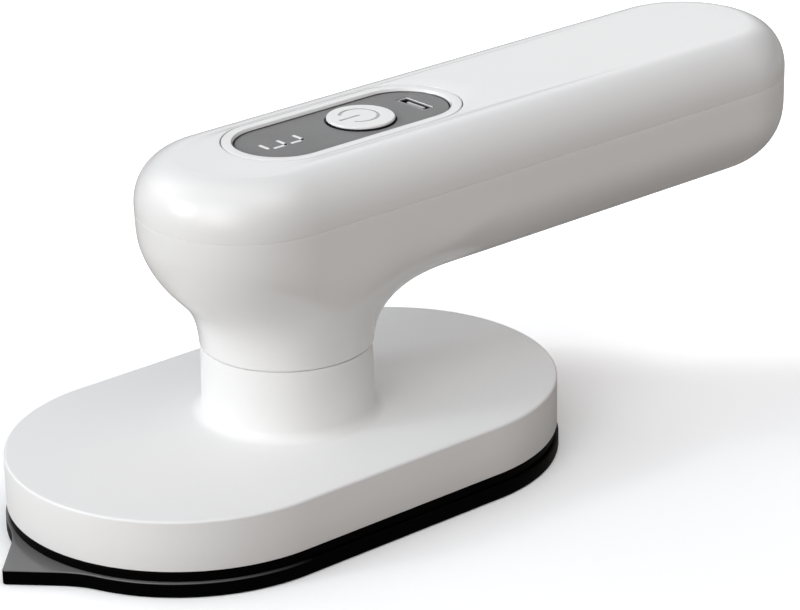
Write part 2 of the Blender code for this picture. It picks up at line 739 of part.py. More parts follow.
def make_heater():
    """Tube heater bent to a U, with its sensor and fuse on the heater bed."""
    bend_x = COVER.front + COVER.radius
    turn = [
        (bend_x + x, y, HEATER_HEIGHT)
        for x, y in arc(0, 0, HEATER_LEG_Y, QUARTER_TURN, QUARTER_TURN + HALF_TURN, 12)
    ]
    ends = [(HEATER_REAR, side * HEATER_LEG_Y, HEATER_HEIGHT) for side in (1, -1)]
    wire("heating_element", [ends[0], *turn, ends[1]], HEATER_RADIUS, HEATER_STEEL)
    capsule("thermistor", SENSOR_RADIUS, SENSOR_LENGTH, SENSOR_Y, CERAMIC)
    capsule("thermal_fuse", FUSE_RADIUS, FUSE_LENGTH, FUSE_Y, NICKEL, FUSE_LEAD_LENGTH)


def capsule(name, radius, length, y, finish, lead=0.0):
    """A small round body lying along X on the heater bed, with a lead at each end if any."""
    half = length / 2
    shoulder = half - radius / 2
    end = radius * CAPSULE_END_SHARE
    profile = [(0, half), (end, half), (radius, shoulder), (radius, -shoulder), (end, -half),
               (0, -half)]
    if lead:
        profile = [(0, half + lead), (FUSE_LEAD_RADIUS, half + lead), (FUSE_LEAD_RADIUS, half),
                   *profile[1:-1],
                   (FUSE_LEAD_RADIUS, -half), (FUSE_LEAD_RADIUS, -half - lead),
                   (0, -half - lead)]
    item = turned(name, profile, 12, finish, (0, y, BED_TOP + GAP + radius))
    item.rotation_euler = (0, QUARTER_TURN, 0)


def make_clamp_and_pad():
    """Steel plate that holds the heater down, its screws, and the fibre pad above it."""
    clamp_profile = [(0, CLAMP_BOTTOM), (0, CLAMP_TOP)]
    clamp = swept("clamp_plate", CLAMP, clamp_profile, PANEL_STEPS, STEEL)
    wider = Outline(CLAMP.front - PAD_MARGIN, CLAMP.rear + PAD_MARGIN, CLAMP.radius + PAD_MARGIN)
    pad_profile = [(0, PAD_BOTTOM), (0, PAD_TOP)]
    pad = swept("insulation_pad", wider, pad_profile, PANEL_STEPS, FIBRE)
    for name, place in zip(("front", "rear"), CLAMP_SCREWS):
        cut(clamp, pin(f"clamp_{name}_hole", SCREW_SHANK_RADIUS + GAP, CLAMP_BOTTOM - OVERRUN,
                       CLAMP_TOP + OVERRUN, STEEL, place, SCREW_STEPS, True))
        cut(pad, pin(f"pad_{name}_hole", PAD_SCREW_HOLE, PAD_BOTTOM - OVERRUN,
                     PAD_TOP + OVERRUN, FIBRE, place, SCREW_STEPS, True))
        screw_piece(f"clamp_screw_{name}", place, CLAMP_TOP, SCREW_HEAD_RADIUS,
                    SCREW_HEAD_HEIGHT, SOLE_SCREW_REACH)


def make_swivel():
    """Bush, wave washer and clip of the swivel, and the hollow shaft in the handle's neck."""
    bush = [
        (BUSH_FLANGE_RADIUS, BUSH_TOP),
        (BUSH_FLANGE_RADIUS, BUSH_FLANGE_BOTTOM),
        (BUSH_RADIUS, BUSH_FLANGE_BOTTOM),
        (BUSH_RADIUS, WEB_BOTTOM),
        (BUSH_BORE, WEB_BOTTOM),
        (BUSH_BORE, BUSH_TOP),
    ]
    turned("swivel_bush", bush, ROUND_STEPS, BUSH_RESIN, is_ring=True)
    groove_radius = SHAFT_RADIUS - CLIP_GROOVE_DEPTH
    shaft = [
        (SHAFT_FLANGE_RADIUS, SHAFT_TOP),
        (SHAFT_FLANGE_RADIUS, SHAFT_FLANGE_BOTTOM),
        (SHAFT_RADIUS, SHAFT_FLANGE_BOTTOM),
        (SHAFT_RADIUS, CLIP_TOP + GAP),
        (groove_radius, CLIP_TOP + GAP),
        (groove_radius, CLIP_BOTTOM - GAP),
        (SHAFT_RADIUS, CLIP_BOTTOM - GAP),
        (SHAFT_RADIUS, SHAFT_BOTTOM),
        (SHAFT_BORE, SHAFT_BOTTOM),
        (SHAFT_BORE, SHAFT_TOP),
    ]
    tube = turned("pivot_tube", shaft, ROUND_STEPS, STEEL, is_ring=True)
    for number, a in enumerate(PIVOT_SCREW_ANGLES):
        place = (PIVOT_SCREW_CIRCLE * math.cos(a), PIVOT_SCREW_CIRCLE * math.sin(a))
        cut(tube, pin(f"shaft_hole_{number}", SCREW_SHANK_RADIUS + GAP,
                      SHAFT_FLANGE_BOTTOM - OVERRUN, SHAFT_TOP + OVERRUN, STEEL, place,
                      SCREW_STEPS, True))
        reach = SHAFT_TOP - FLOOR_TOP + PIVOT_SCREW_REACH
        screw_piece(f"pivot_screw_{number + 1}", place, SHAFT_TOP, PIVOT_SCREW_HEAD_RADIUS,
                    SCREW_HEAD_HEIGHT, reach)
    make_clip(groove_radius + GAP)
    make_wave_washer()


def make_clip(inner):
    """Open spring clip in the shaft's groove."""
    half_mouth = math.radians(CLIP_MOUTH_DEG) / 2
    rings = []
    for a in np.linspace(half_mouth, FULL_TURN - half_mouth, ROUND_STEPS):
        across = ((inner, CLIP_BOTTOM), (CLIP_RADIUS, CLIP_BOTTOM),
                  (CLIP_RADIUS, CLIP_TOP), (inner, CLIP_TOP))
        rings.append([(r * math.cos(a), r * math.sin(a), z) for r, z in across])
    loft("retaining_ring", rings, STEEL)


def make_wave_washer():
    """Thin washer whose height follows a wave round the shaft."""
    rings = []
    half = WAVE_THICKNESS / 2
    for a in np.linspace(0, FULL_TURN, 36, endpoint=False):
        middle = WAVE_MIDDLE + WAVE_HEIGHT * math.sin(WAVE_COUNT * a)
        across = ((WAVE_INNER, middle - half), (WAVE_OUTER, middle - half),
                  (WAVE_OUTER, middle + half), (WAVE_INNER, middle + half))
        rings.append([(r * math.cos(a), r * math.sin(a), z) for r, z in across])
    loft("wave_washer", rings, STEEL, is_ring=True)


def outline_distance(x, y):
    """Distance of plan points from the line that joins the middles of the handle's round ends."""
    start = HANDLE.front + HANDLE.radius
    end = HANDLE.rear - HANDLE.radius
    return np.hypot(x - np.clip(x, start, end), y)


def underside_height(x, y):
    """Height of the lower shell's outer face over plan points.

    The grip's underside is flat with a rounded edge. The neck is a quarter of an ellipse that
    widens from the front to the rear. A smooth minimum joins the two.
    """
    edge = (outline_distance(x, y) - (HANDLE.radius - LOWER_EDGE_WIDTH)) / LOWER_EDGE_WIDTH
    edge = np.clip(edge, 0, 1)
    power = LOWER_EDGE_POWER
    round_share = (1 - edge**power) ** (1 / power)
    grip = HANDLE_BOTTOM + LOWER_EDGE_HEIGHT * (1 - round_share)
    distance = np.hypot(x, y)
    rear_share = (1 + x / distance) / 2
    width = NECK_FRONT_WIDTH + (NECK_REAR_WIDTH - NECK_FRONT_WIDTH) * rear_share
    height = NECK_FRONT_HEIGHT + (NECK_REAR_HEIGHT - NECK_FRONT_HEIGHT) * rear_share
    reach = np.clip((NECK_RADIUS + width - distance) / width, 0, 1)
    beyond = np.clip(distance - NECK_RADIUS - width, 0, None)
    neck = NECK_SEAM + height * np.sqrt(1 - reach**2) + NECK_STEEPNESS * beyond
    mix = np.clip(0.5 + 0.5 * (neck - grip) / NECK_BLEND, 0, 1)
    return neck * (1 - mix) + grip * mix - NECK_BLEND * mix * (1 - mix)


def handle_directions():
    """Directions from the swivel axis, spread by angle and by length of the outline."""
    fine = np.linspace(0, FULL_TURN, 4 * DENSE_ROWS + 1)
    reach = outline_reach(fine)
    x, y = reach * np.cos(fine), reach * np.sin(fine)
    length = np.concatenate(([0], np.cumsum(np.hypot(np.diff(x), np.diff(y)))))
    measure = (length / length[-1] + fine / FULL_TURN) / 2
    return np.interp(np.linspace(0, 1, HANDLE_COLUMNS, endpoint=False), measure, fine)


def outline_reach(angles):
    """Distance from the swivel axis to the handle's outline in each direction."""
    low = np.zeros_like(angles)
    high = np.full_like(angles, HANDLE_REAR - HANDLE_FRONT)
    for _ in range(50):
        middle = (low + high) / 2
        inside = outline_distance(middle * np.cos(angles), middle * np.sin(angles)) < HANDLE.radius
        low = np.where(inside, middle, low)
        high = np.where(inside, high, middle)
    return (low + high) / 2


def lower_skin_rows():
    """Rows of points from the neck's seam to the parting line.

    Each column lies in a plane through the swivel axis. Its points are spread evenly by a sum
    of its length and its turning, so the bends get more of them.
    """
    spread = (1 - np.cos(np.linspace(0, HALF_TURN, DENSE_ROWS))) / 2
    columns = []
    for angle in handle_directions():
        reach = outline_reach(np.array([angle]))[0]
        distance = NECK_RADIUS + (reach - NECK_RADIUS) * spread
        height = underside_height(distance * math.cos(angle), distance * math.sin(angle))
        distance = np.append(distance, reach)
        height = np.append(height, LOWER_RIM)
        step = np.hypot(np.diff(distance), np.diff(height))
        heading = np.unwrap(np.arctan2(np.diff(height), np.diff(distance)))
        turning = np.concatenate(([0], np.abs(np.diff(heading))))
        measure = np.concatenate(([0], np.cumsum(step / step.sum() + turning / turning.sum())))
        evenly = np.linspace(0, measure[-1], HANDLE_ROWS)
        radial = np.interp(evenly, measure, distance)
        columns.append([
            (r * math.cos(angle), r * math.sin(angle), z)
            for r, z in zip(radial, np.interp(evenly, measure, height))
        ])
    return np.array(columns).transpose(1, 0, 2)


def skin_normals(rows):
    """Unit normals that point out of the lower skin, level at both of its edges."""
    around = np.roll(rows, -1, axis=1) - np.roll(rows, 1, axis=1)
    upward = np.gradient(rows, axis=0)
    normals = np.cross(around, upward)
    normals[[0, -1], :, 2] = 0
    return normals / np.linalg.norm(normals, axis=2, keepdims=True)


def make_lower_shell():
    """Lower half of the handle with the flared neck, a hollow moulding with a lip on its rim.

    The rows run up the outer skin, over the lip, and down the inner skin, one wall inside.
    """
    outer = lower_skin_rows()
    normals = skin_normals(outer)
    inner = outer - HANDLE_WALL * normals
    rim = outer[-1]
    lip = []
    for inset, height in (
        (LIP_INSET, LOWER_RIM),
        (LIP_INSET, PARTING_HEIGHT + LIP_HEIGHT),
        (HANDLE_WALL, PARTING_HEIGHT + LIP_HEIGHT),
    ):
        row = rim - inset * normals[-1]
        row[:, 2] = height
        lip.append(row)
    rings = [*outer, *lip, *inner[::-1]]
    shell = loft("handle_lower_shell", rings, WHITE_GLOSS, is_ring=True)
    floor_edge = NECK_RADIUS - HANDLE_WALL / 2
    fuse(shell, pin("neck_floor", floor_edge, FLOOR_BOTTOM, FLOOR_TOP, WHITE_GLOSS,
                    steps=COLLAR_STEPS, is_cutter=True))
    stop_low = COLLAR_TOP - STOP_DEPTH + GAP
    fuse(shell, centred_box("stop_lug", (-STOP_RADIUS, 0, (stop_low + FLOOR_TOP - SINK) / 2),
                            (STOP_WIDTH, STOP_LENGTH, FLOOR_TOP - SINK - stop_low),
                            WHITE_GLOSS, True))
    core = [*(outer - HANDLE_WALL / 2 * normals), lip[0] + np.array((0, 0, OVERRUN))]
    for number, place in enumerate(HANDLE_SCREWS):
        add_lower_boss(shell, number, place, core)
    cut(shell, pin("neck_bore", SHAFT_RADIUS + GAP, FLOOR_BOTTOM - OVERRUN, FLOOR_TOP + OVERRUN,
                   WHITE_GLOSS, is_cutter=True))
    for number, a in enumerate(PIVOT_SCREW_ANGLES):
        place = (PIVOT_SCREW_CIRCLE * math.cos(a), PIVOT_SCREW_CIRCLE * math.sin(a))
        cut(shell, pin(f"neck_pilot_{number}", SCREW_SHANK_RADIUS + GAP,
                       FLOOR_BOTTOM - OVERRUN, FLOOR_TOP + OVERRUN, WHITE_GLOSS, place,
                       SCREW_STEPS, True))


def add_lower_boss(shell, number, place, core):
    """Boss in the lower shell with the well that takes a screw from below.

    The boss is trimmed to the core, which ends in the middle of the wall.
    """
    boss = pin(f"lower_boss_{number}", HANDLE_BOSS_RADIUS, HANDLE_BOTTOM, LOWER_RIM, WHITE_GLOSS,
               place, is_cutter=True)
    boolean(boss, loft(f"lower_core_{number}", core, WHITE_GLOSS, is_cutter=True), "INTERSECT")
    fuse(shell, boss)
    well = [
        (0, LOWER_RIM + OVERRUN),
        (HANDLE_PILOT_RADIUS, LOWER_RIM + OVERRUN),
        (HANDLE_PILOT_RADIUS, HANDLE_SEAT_HEIGHT),
        (HANDLE_WELL_RADIUS, HANDLE_SEAT_HEIGHT),
        (HANDLE_WELL_RADIUS, HANDLE_BOTTOM - OVERRUN),
        (0, HANDLE_BOTTOM - OVERRUN),
    ]
    cut(shell, turned(f"lower_well_{number}", well, ROUND_STEPS, WHITE_GLOSS,
                      (place[0], place[1], 0), True))


def upper_profile(inset, drop):
    """Profile of the upper shell's skin, from the parting line to the flat top."""
    low = HANDLE_TOP - UPPER_CROWN - UPPER_EDGE_HEIGHT
    points = []
    for a in np.linspace(0, QUARTER_TURN, EDGE_STEPS + 1):
        side = inset + (UPPER_EDGE_WIDTH - inset) * (1 - math.cos(a))
        points.append((side, low + (UPPER_EDGE_HEIGHT - drop) * math.sin(a)))
    return points


def make_upper_shell():
    """Upper half of the handle, with the pocket for the panel, bosses and board posts."""
    rebate_inset = LIP_INSET - GAP
    rebate_top = PARTING_HEIGHT + LIP_HEIGHT + GAP
    outer = [(0, UPPER_RIM), *upper_profile(0, 0)]
    inner = [(rebate_inset, UPPER_RIM), (rebate_inset, rebate_top), (HANDLE_WALL, rebate_top),
             *upper_profile(HANDLE_WALL, HANDLE_WALL)[1:]]
    crown = (HANDLE_HALF_WIDTH - POCKET_HALF_WIDTH, HANDLE_TOP)
    profile = [*reversed(inner), *outer, crown]
    shell = swept("handle_upper_shell", HANDLE, profile, UPPER_STEPS, WHITE_GLOSS)
    pocket = Outline(PANEL.front - BEZEL_WIDTH - 2 * GAP, PANEL.rear + BEZEL_WIDTH + 2 * GAP,
                     POCKET_HALF_WIDTH)
    pad_profile = [(-POCKET_PAD_MARGIN, PAD_UNDER_POCKET),
                   (-POCKET_PAD_MARGIN, HANDLE_TOP - UPPER_CROWN - HANDLE_WALL / 2)]
    fuse(shell, swept("pocket_pad", pocket, pad_profile, PANEL_STEPS, WHITE_GLOSS,
                      is_cutter=True))
    for number, place in enumerate(POSTS):
        fuse(shell, pin(f"board_post_{number}", POST_RADIUS, BOARD_TOP + GAP,
                        HANDLE_TOP - HANDLE_WALL, WHITE_GLOSS, place, 12, True))
        cut(shell, pin(f"board_pilot_{number}", POST_PILOT_RADIUS, BOARD_TOP - OVERRUN,
                       BOARD_TOP + POST_PILOT_DEPTH, WHITE_GLOSS, place, SCREW_STEPS, True))
    for number, place in enumerate(HANDLE_SCREWS):
        fuse(shell, pin(f"upper_boss_{number}", UPPER_BOSS_RADIUS, LOWER_RIM + GAP,
                        HANDLE_TOP - HANDLE_WALL, WHITE_GLOSS, place, 16, True))
        cut(shell, pin(f"upper_pilot_{number}", HANDLE_PILOT_RADIUS, LOWER_RIM - OVERRUN,
                       LOWER_RIM + HANDLE_SCREW_BITE + GAP, WHITE_GLOSS, place, SCREW_STEPS,
                       True))
    cut(shell, swept("pocket", pocket, [(0, POCKET_BOTTOM), (0, HANDLE_TOP + OVERRUN)],
                     PANEL_STEPS, WHITE_GLOSS, is_cutter=True))
    cut(shell, *panel_holes("roof", PAD_UNDER_POCKET, POCKET_BOTTOM, WHITE_GLOSS, True))


def panel_holes(name, low, high, finish, has_lights):
    """Tools for the button hole, the port hole and, if wanted, the light guide's windows."""
    tools = [
        pin(f"{name}_button_hole", BUTTON_RADIUS + GAP, low - OVERRUN, high + OVERRUN, finish,
            (BUTTON_X, 0), ROUND_STEPS, True),
        centred_box(f"{name}_port_hole", (PORT_X, 0, (low + high) / 2),
                    (PORT_DEPTH + 2 * GAP, PORT_WIDTH + 2 * GAP, high - low + 2 * OVERRUN),
                    finish, True),
    ]
    if has_lights:
        for number in range(3):
            x = LIGHT_X + (number - 1) * LIGHT_PITCH
            tools.append(centred_box(
                f"{name}_window_{number}", (x, 0, (low + high) / 2),
                (GUIDE_FOOT_WIDTH + 2 * GAP, GUIDE_FOOT_LENGTH + 2 * GAP,
                 high - low + 2 * OVERRUN), finish, True))
    return tools


def make_handle_screws():
    """Screws that hold the two handle shells together, driven from below."""
    for number, place in enumerate(HANDLE_SCREWS):
        reach = LOWER_RIM + HANDLE_SCREW_BITE - HANDLE_SEAT_HEIGHT
        screw_piece(f"handle_screw_{number + 1}", place, HANDLE_SEAT_HEIGHT,
                    HANDLE_SCREW_HEAD_RADIUS, SCREW_HEAD_HEIGHT, reach, points_up=True)


def make_panel_and_bezel():
    """Grey control panel, and the white ring that slopes down to it."""
    panel_profile = [(0, PANEL_BOTTOM), (0, PANEL_TOP)]
    panel = swept("control_panel", PANEL, panel_profile, PANEL_STEPS, PANEL_GREY)
    cut(panel, *panel_holes("panel", PANEL_BOTTOM, PANEL_TOP, PANEL_GREY, False))
    inner = -GAP
    outer = -GAP - BEZEL_WIDTH
    bezel_profile = [
        (inner, PANEL_BOTTOM),
        (inner, PANEL_TOP),
        (inner - BEZEL_SLOPE_WIDTH, HANDLE_TOP),
        (outer, HANDLE_TOP),
        (outer, PANEL_BOTTOM),
    ]
    swept("panel_bezel", PANEL, bezel_profile, PANEL_STEPS, WHITE_GLOSS, is_ring=True)


def make_button():
    """Power button with its flange and stem, and the plunger of its switch."""
    top = PANEL_TOP + BUTTON_PROUD
    flange_top = PAD_UNDER_POCKET - GAP
    flange_low = flange_top - BUTTON_FLANGE_HEIGHT
    plunger_top = BOARD_TOP + GAP + SWITCH_HEIGHT + PLUNGER_HEIGHT
    profile = [(0, top)]
    for a in np.linspace(0, QUARTER_TURN, 4):
        profile.append((BUTTON_RADIUS - BUTTON_EDGE_RADIUS * (1 - math.sin(a)),
                        top - BUTTON_EDGE_RADIUS * (1 - math.cos(a))))
    profile += [
        (BUTTON_RADIUS, flange_top),
        (BUTTON_RADIUS + BUTTON_FLANGE, flange_top),
        (BUTTON_RADIUS + BUTTON_FLANGE, flange_low),
        (STEM_RADIUS, flange_low),
        (STEM_RADIUS, plunger_top + GAP),
        (0, plunger_top + GAP),
    ]
    turned("power_button", profile, 32, WHITE_GLOSS, (BUTTON_X, 0, 0))
    well_floor = plunger_top - PLUNGER_HEIGHT - BUTTON_TRAVEL - GAP
    pin("switch_plunger", PLUNGER_RADIUS, well_floor + BUTTON_TRAVEL + GAP, plunger_top,
        BLACK_PLASTIC, (BUTTON_X, 0), 12)
    switch_low = BOARD_TOP + GAP
    switch = centred_box("tact_switch", (BUTTON_X, 0, switch_low + SWITCH_HEIGHT / 2),
                         (SWITCH_SIZE, SWITCH_SIZE, SWITCH_HEIGHT), BLACK_PLASTIC)
    cut(switch, pin("switch_well", PLUNGER_RADIUS + GAP, well_floor,
                    switch_low + SWITCH_HEIGHT + OVERRUN, BLACK_PLASTIC, (BUTTON_X, 0), 12,
                    True))


def make_charge_port():
    """Upright receptacle with a slot-shaped mouth and a tongue inside."""
    low = BOARD_TOP + GAP
    high = PANEL_TOP - PORT_RECESS
    port = centred_box("charge_port", (PORT_X, 0, (low + high) / 2),
                       (PORT_DEPTH, PORT_WIDTH, high - low), STEEL)
    cavity_low = high - PORT_CAVITY_DEPTH
    cut(port, centred_box("port_cavity", (PORT_X, 0, (cavity_low + high + OVERRUN) / 2),
                          (PORT_DEPTH - 2 * PORT_WALL, PORT_WIDTH - 2 * PORT_WALL,
                           high + OVERRUN - cavity_low), STEEL, True))
    tongue_high = high - TONGUE_DROP
    fuse(port, centred_box("port_tongue", (PORT_X, 0, (cavity_low - SINK + tongue_high) / 2),
                           (TONGUE_THICKNESS, TONGUE_WIDTH, tongue_high - cavity_low + SINK),
                           STEEL, True))


def make_board():
    """Main board under the panel, its screws, lights and the light guide over them."""
    board = swept("main_board", BOARD, [(0, BOARD_BOTTOM), (0, BOARD_TOP)], PANEL_STEPS,
                  BOARD_GREEN)
    for number, place in enumerate(POSTS):
        cut(board, pin(f"board_hole_{number}", POST_PILOT_RADIUS, BOARD_BOTTOM - OVERRUN,
                       BOARD_TOP + OVERRUN, BOARD_GREEN, place, SCREW_STEPS, True))
        screw_piece(f"board_screw_{number + 1}", place, BOARD_BOTTOM, BOARD_SCREW_HEAD_RADIUS,
                    BOARD_SCREW_HEAD_HEIGHT, BOARD_SCREW_REACH, points_up=True)
    led_low = BOARD_TOP + GAP
    for number in range(3):
        x = LIGHT_X + (number - 1) * LIGHT_PITCH
        centred_box(f"led_{number + 1}", (x, 0, led_low + LED_HEIGHT / 2),
                    (LED_WIDTH, LED_LENGTH, LED_HEIGHT), LED_WHITE)
    make_light_guide(led_low + LED_HEIGHT + GAP)


def make_light_guide(low):
    """Clear comb that carries the light of the three lamps up to the panel."""
    bridge_high = PAD_UNDER_POCKET - GAP
    length = 2 * LIGHT_PITCH + GUIDE_FOOT_WIDTH
    guide = centred_box("light_guide", (LIGHT_X, 0, bridge_high - GUIDE_THICKNESS / 2),
                        (length, GUIDE_FOOT_LENGTH + 2 * GUIDE_THICKNESS, GUIDE_THICKNESS),
                        CLEAR)
    for number in range(3):
        x = LIGHT_X + (number - 1) * LIGHT_PITCH
        fuse(guide, centred_box(f"guide_top_{number}",
                                (x, 0, (bridge_high - SINK + PANEL_BOTTOM - GAP) / 2),
                                (GUIDE_FOOT_WIDTH, GUIDE_FOOT_LENGTH,
                                 PANEL_BOTTOM - GAP - bridge_high + SINK), CLEAR, True))
        foot_high = bridge_high - GUIDE_THICKNESS + SINK
        fuse(guide, centred_box(f"guide_foot_{number}", (x, 0, (low + foot_high) / 2),
                                (LED_WIDTH, LED_LENGTH, foot_high - low), CLEAR, True))


def make_battery():
    """Two cells side by side in a moulded cradle, joined by a strip at the rear."""
    for side, name in ((1, "left"), (-1, "right")):
        y = side * CELL_SPACING / 2
        half = CELL_LENGTH / 2
        edge = CELL_EDGE_RADIUS
        profile = [(0, half), (CELL_RADIUS - edge, half), (CELL_RADIUS, half - edge),
                   (CELL_RADIUS, edge - half), (CELL_RADIUS - edge, -half), (0, -half)]
        cell = turned(f"battery_cell_{name}", profile, 28, CELL_BLUE,
                      (CELL_FRONT + half, y, CELL_HEIGHT))
        cell.rotation_euler = (0, QUARTER_TURN, 0)
        centred_box(f"battery_tab_{name}", (CELL_FRONT - GAP - STRIP_THICKNESS / 2, y, CELL_HEIGHT),
                    (STRIP_THICKNESS, STRIP_WIDTH, TAB_LENGTH), NICKEL)
    centred_box("battery_link_strip", (CELL_REAR + GAP + STRIP_THICKNESS / 2, 0, CELL_HEIGHT),
                (STRIP_THICKNESS, CELL_SPACING + STRIP_WIDTH, STRIP_WIDTH), NICKEL)
    make_cradle()


def make_cradle():
    """Moulded cradle: a floor with saddle walls cut to the cells' round sides."""
    low = HANDLE_BOTTOM + HANDLE_WALL + GAP
    half_width = HANDLE.radius - LOWER_EDGE_WIDTH - CRADLE_SIDE_ROOM
    front = CELL_FRONT + CRADLE_FRONT_MARGIN
    rear = HANDLE.rear - HANDLE.radius - CRADLE_SIDE_ROOM
    cradle = box("battery_cradle", (front, -half_width, low),
                 (rear, half_width, low + CRADLE_FLOOR), BLACK_PLASTIC)
    for number, x in enumerate(np.linspace(front, rear - CRADLE_WALL, 3)):
        fuse(cradle, box(f"cradle_wall_{number}", (x, -half_width, low + SINK),
                         (x + CRADLE_WALL, half_width, low + CRADLE_HEIGHT),
                         BLACK_PLASTIC, True))
    for side in (-1, 1):
        half = CELL_LENGTH / 2
        profile = [(0, half), (CELL_RADIUS + GAP, half), (CELL_RADIUS + GAP, -half), (0, -half)]
        trough = turned(f"cell_trough_{side}", profile, 28, BLACK_PLASTIC,
                        (CELL_FRONT + half, side * CELL_SPACING / 2, CELL_HEIGHT), True)
        trough.rotation_euler = (0, QUARTER_TURN, 0)
        cut(cradle, trough)


def make_leads():
    """Sleeved leads down the hollow shaft, and the two leads on to the heater's ends."""
    connector_low = BOARD_BOTTOM - GAP - CONNECTOR_HEIGHT
    centred_box("lead_connector", (0, 0, connector_low + CONNECTOR_HEIGHT / 2),
                (CONNECTOR_SIZE, CONNECTOR_SIZE, CONNECTOR_HEIGHT), BLACK_PLASTIC)
    top = connector_low - GAP
    wire("lead_bundle", [(0, 0, z) for z in np.linspace(top, BUNDLE_END, 6)], BUNDLE_RADIUS,
         SILICONE)
    over_pad = (PAD_TOP + COVER_ROOF) / 2
    terminal = HEATER_HEIGHT + HEATER_RADIUS + GAP
    end_x = HEATER_REAR - HEATER_END_COVER
    for side, name in ((1, "left"), (-1, "right")):
        corners = [
            (0, side * LEAD_SPREAD, BUNDLE_END - GAP),
            (0, side * LEAD_SPREAD, over_pad),
            (end_x, side * HEATER_LEG_Y, over_pad),
            (end_x, side * HEATER_LEG_Y, terminal),
        ]
        wire(f"heater_lead_{name}", rounded_route(corners, LEAD_BEND), LEAD_RADIUS, SILICONE)


make_sole_plate()
make_heater()
make_clamp_and_pad()
make_heat_shield()
make_base_cover()
make_swivel()
make_lower_shell()
make_upper_shell()
make_handle_screws()
make_panel_and_bezel()
make_button()
make_charge_port()
make_board()
make_battery()
make_leads()
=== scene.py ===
"""Mini handheld heat press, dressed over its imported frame.

Each visible piece is a surface worked out with numpy in the frame's own metres. +X runs along the
handle, away from the sole's pointed tip, and +Z is up.
"""
import json
import math

import bpy
import numpy as np
from bpy.props import FloatProperty, FloatVectorProperty, PointerProperty
from bpy.types import Operator, Panel, PropertyGroup
from mathutils import Matrix, Vector


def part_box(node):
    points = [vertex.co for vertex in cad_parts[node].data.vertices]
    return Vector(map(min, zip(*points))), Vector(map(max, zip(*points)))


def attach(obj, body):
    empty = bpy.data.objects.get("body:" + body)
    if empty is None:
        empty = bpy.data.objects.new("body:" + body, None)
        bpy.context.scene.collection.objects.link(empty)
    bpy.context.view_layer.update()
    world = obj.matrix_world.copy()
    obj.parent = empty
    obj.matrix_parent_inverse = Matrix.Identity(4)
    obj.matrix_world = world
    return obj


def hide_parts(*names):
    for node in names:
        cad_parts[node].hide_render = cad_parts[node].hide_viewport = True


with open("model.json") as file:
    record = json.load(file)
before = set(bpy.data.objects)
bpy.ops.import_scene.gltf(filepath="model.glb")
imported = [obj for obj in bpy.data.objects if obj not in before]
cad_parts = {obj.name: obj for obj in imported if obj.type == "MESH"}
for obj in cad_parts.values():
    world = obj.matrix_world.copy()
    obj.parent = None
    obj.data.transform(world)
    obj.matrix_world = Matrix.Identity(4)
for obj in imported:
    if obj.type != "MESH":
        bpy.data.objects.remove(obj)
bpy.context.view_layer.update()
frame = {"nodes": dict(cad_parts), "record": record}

bl_info = {
    "name": "Mini Heat Press",
    "version": (1, 0, 0),
    "blender": (4, 5, 0),
    "location": "View3D > Sidebar > Heat Press",
    "description": "Builds the visible pieces of a mini handheld heat press over its frame",
    "category": "Object",
}


FULL_TURN = 2 * math.pi
HALF_TURN = math.pi
QUARTER_TURN = math.pi / 2
SMOOTH_ANGLE = math.radians(32)
SHELL_COLUMNS, RING_COLUMNS, HOLE_COLUMNS, PROFILE_STEPS = 420, 320, 96, 900

# How far the tools that cut holes stand out past both faces.
TOOL_REACH = 0.002

# The neck's bends are softened most up to the first length past its radius, and least past both.
SOFT_START, SOFT_CHANGE = 0.006, 0.022

# Room below the control panel, and thickness of the pocket's floor under it.
PANEL_SEAT, PANEL_FLOOR = 0.0003, 0.0020

LOWER_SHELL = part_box("handle_lower_shell")
UPPER_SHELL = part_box("handle_upper_shell")
PANEL_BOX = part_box("control_panel")
BUTTON_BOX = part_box("power_button")
PORT_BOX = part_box("charge_port")
COVER_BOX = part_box("base_cover")
SHIELD_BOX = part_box("heat_shield")


# Settings

def length(name, description, value):
    """A length in metres that a user can change."""
    return FloatProperty(name=name, description=description, default=value, unit="LENGTH",
                         precision=5)


def colour(name, description, value):
    """A linear colour that a user can change."""
    return FloatVectorProperty(name=name, description=description, default=value,
                               subtype="COLOR", size=3, min=0.0, max=1.0)


def amount(name, description, value, low=0.0, high=1.0):
    """A plain number that a user can change."""
    return FloatProperty(name=name, description=description, default=value, min=low, max=high)


class HandleSizes(PropertyGroup):
    """Sizes of the handle's two shells."""
    front: length("Front", "Front end of the handle", LOWER_SHELL[0][0])
    rear: length("Rear", "Rear end of the handle", LOWER_SHELL[1][0])
    half_width: length("Half width", "Half of the handle's width", LOWER_SHELL[1][1])
    bottom: length("Bottom", "Height of the grip's flat underside", 0.0439)
    top: length("Top", "Height of the handle's flat top", UPPER_SHELL[1][2])
    parting: length("Parting line", "Height of the line between the two shells", 0.0652)
    wall: length("Wall", "Thickness of the shells", 0.0020)
    upper_width: length("Upper edge width", "Width of the rounded upper edge", 0.0089)
    upper_height: length("Upper edge height", "Height of the rounded upper edge", 0.0101)
    crown: length("Crown", "Rise of the top from its edge to the panel", 0.0003)
    front_edge_width: length("Front edge width", "Width of the lower edge at the front", 0.0113)
    front_edge_height: length("Front edge height", "Height of the lower edge at the front", 0.0181)
    front_edge_power: amount("Front edge power", "Fullness of the lower edge at the front", 1.64,
                             1.0, 4.0)
    grip_edge_width: length("Grip edge width", "Width of the lower edge behind the neck", 0.0141)
    grip_edge_height: length("Grip edge height", "Height of the lower edge behind the neck",
                             0.0140)
    grip_edge_power: amount("Grip edge power", "Fullness of the lower edge behind the neck", 2.0,
                            1.0, 4.0)
    edge_change: length("Edge change", "Length behind the axis over which the edge changes", 0.030)
    seam_gap: length("Seam gap", "Open gap at the parting line", 0.00003)
    seam_round: length("Seam rounding", "Rounding of both edges at the parting line", 0.00008)


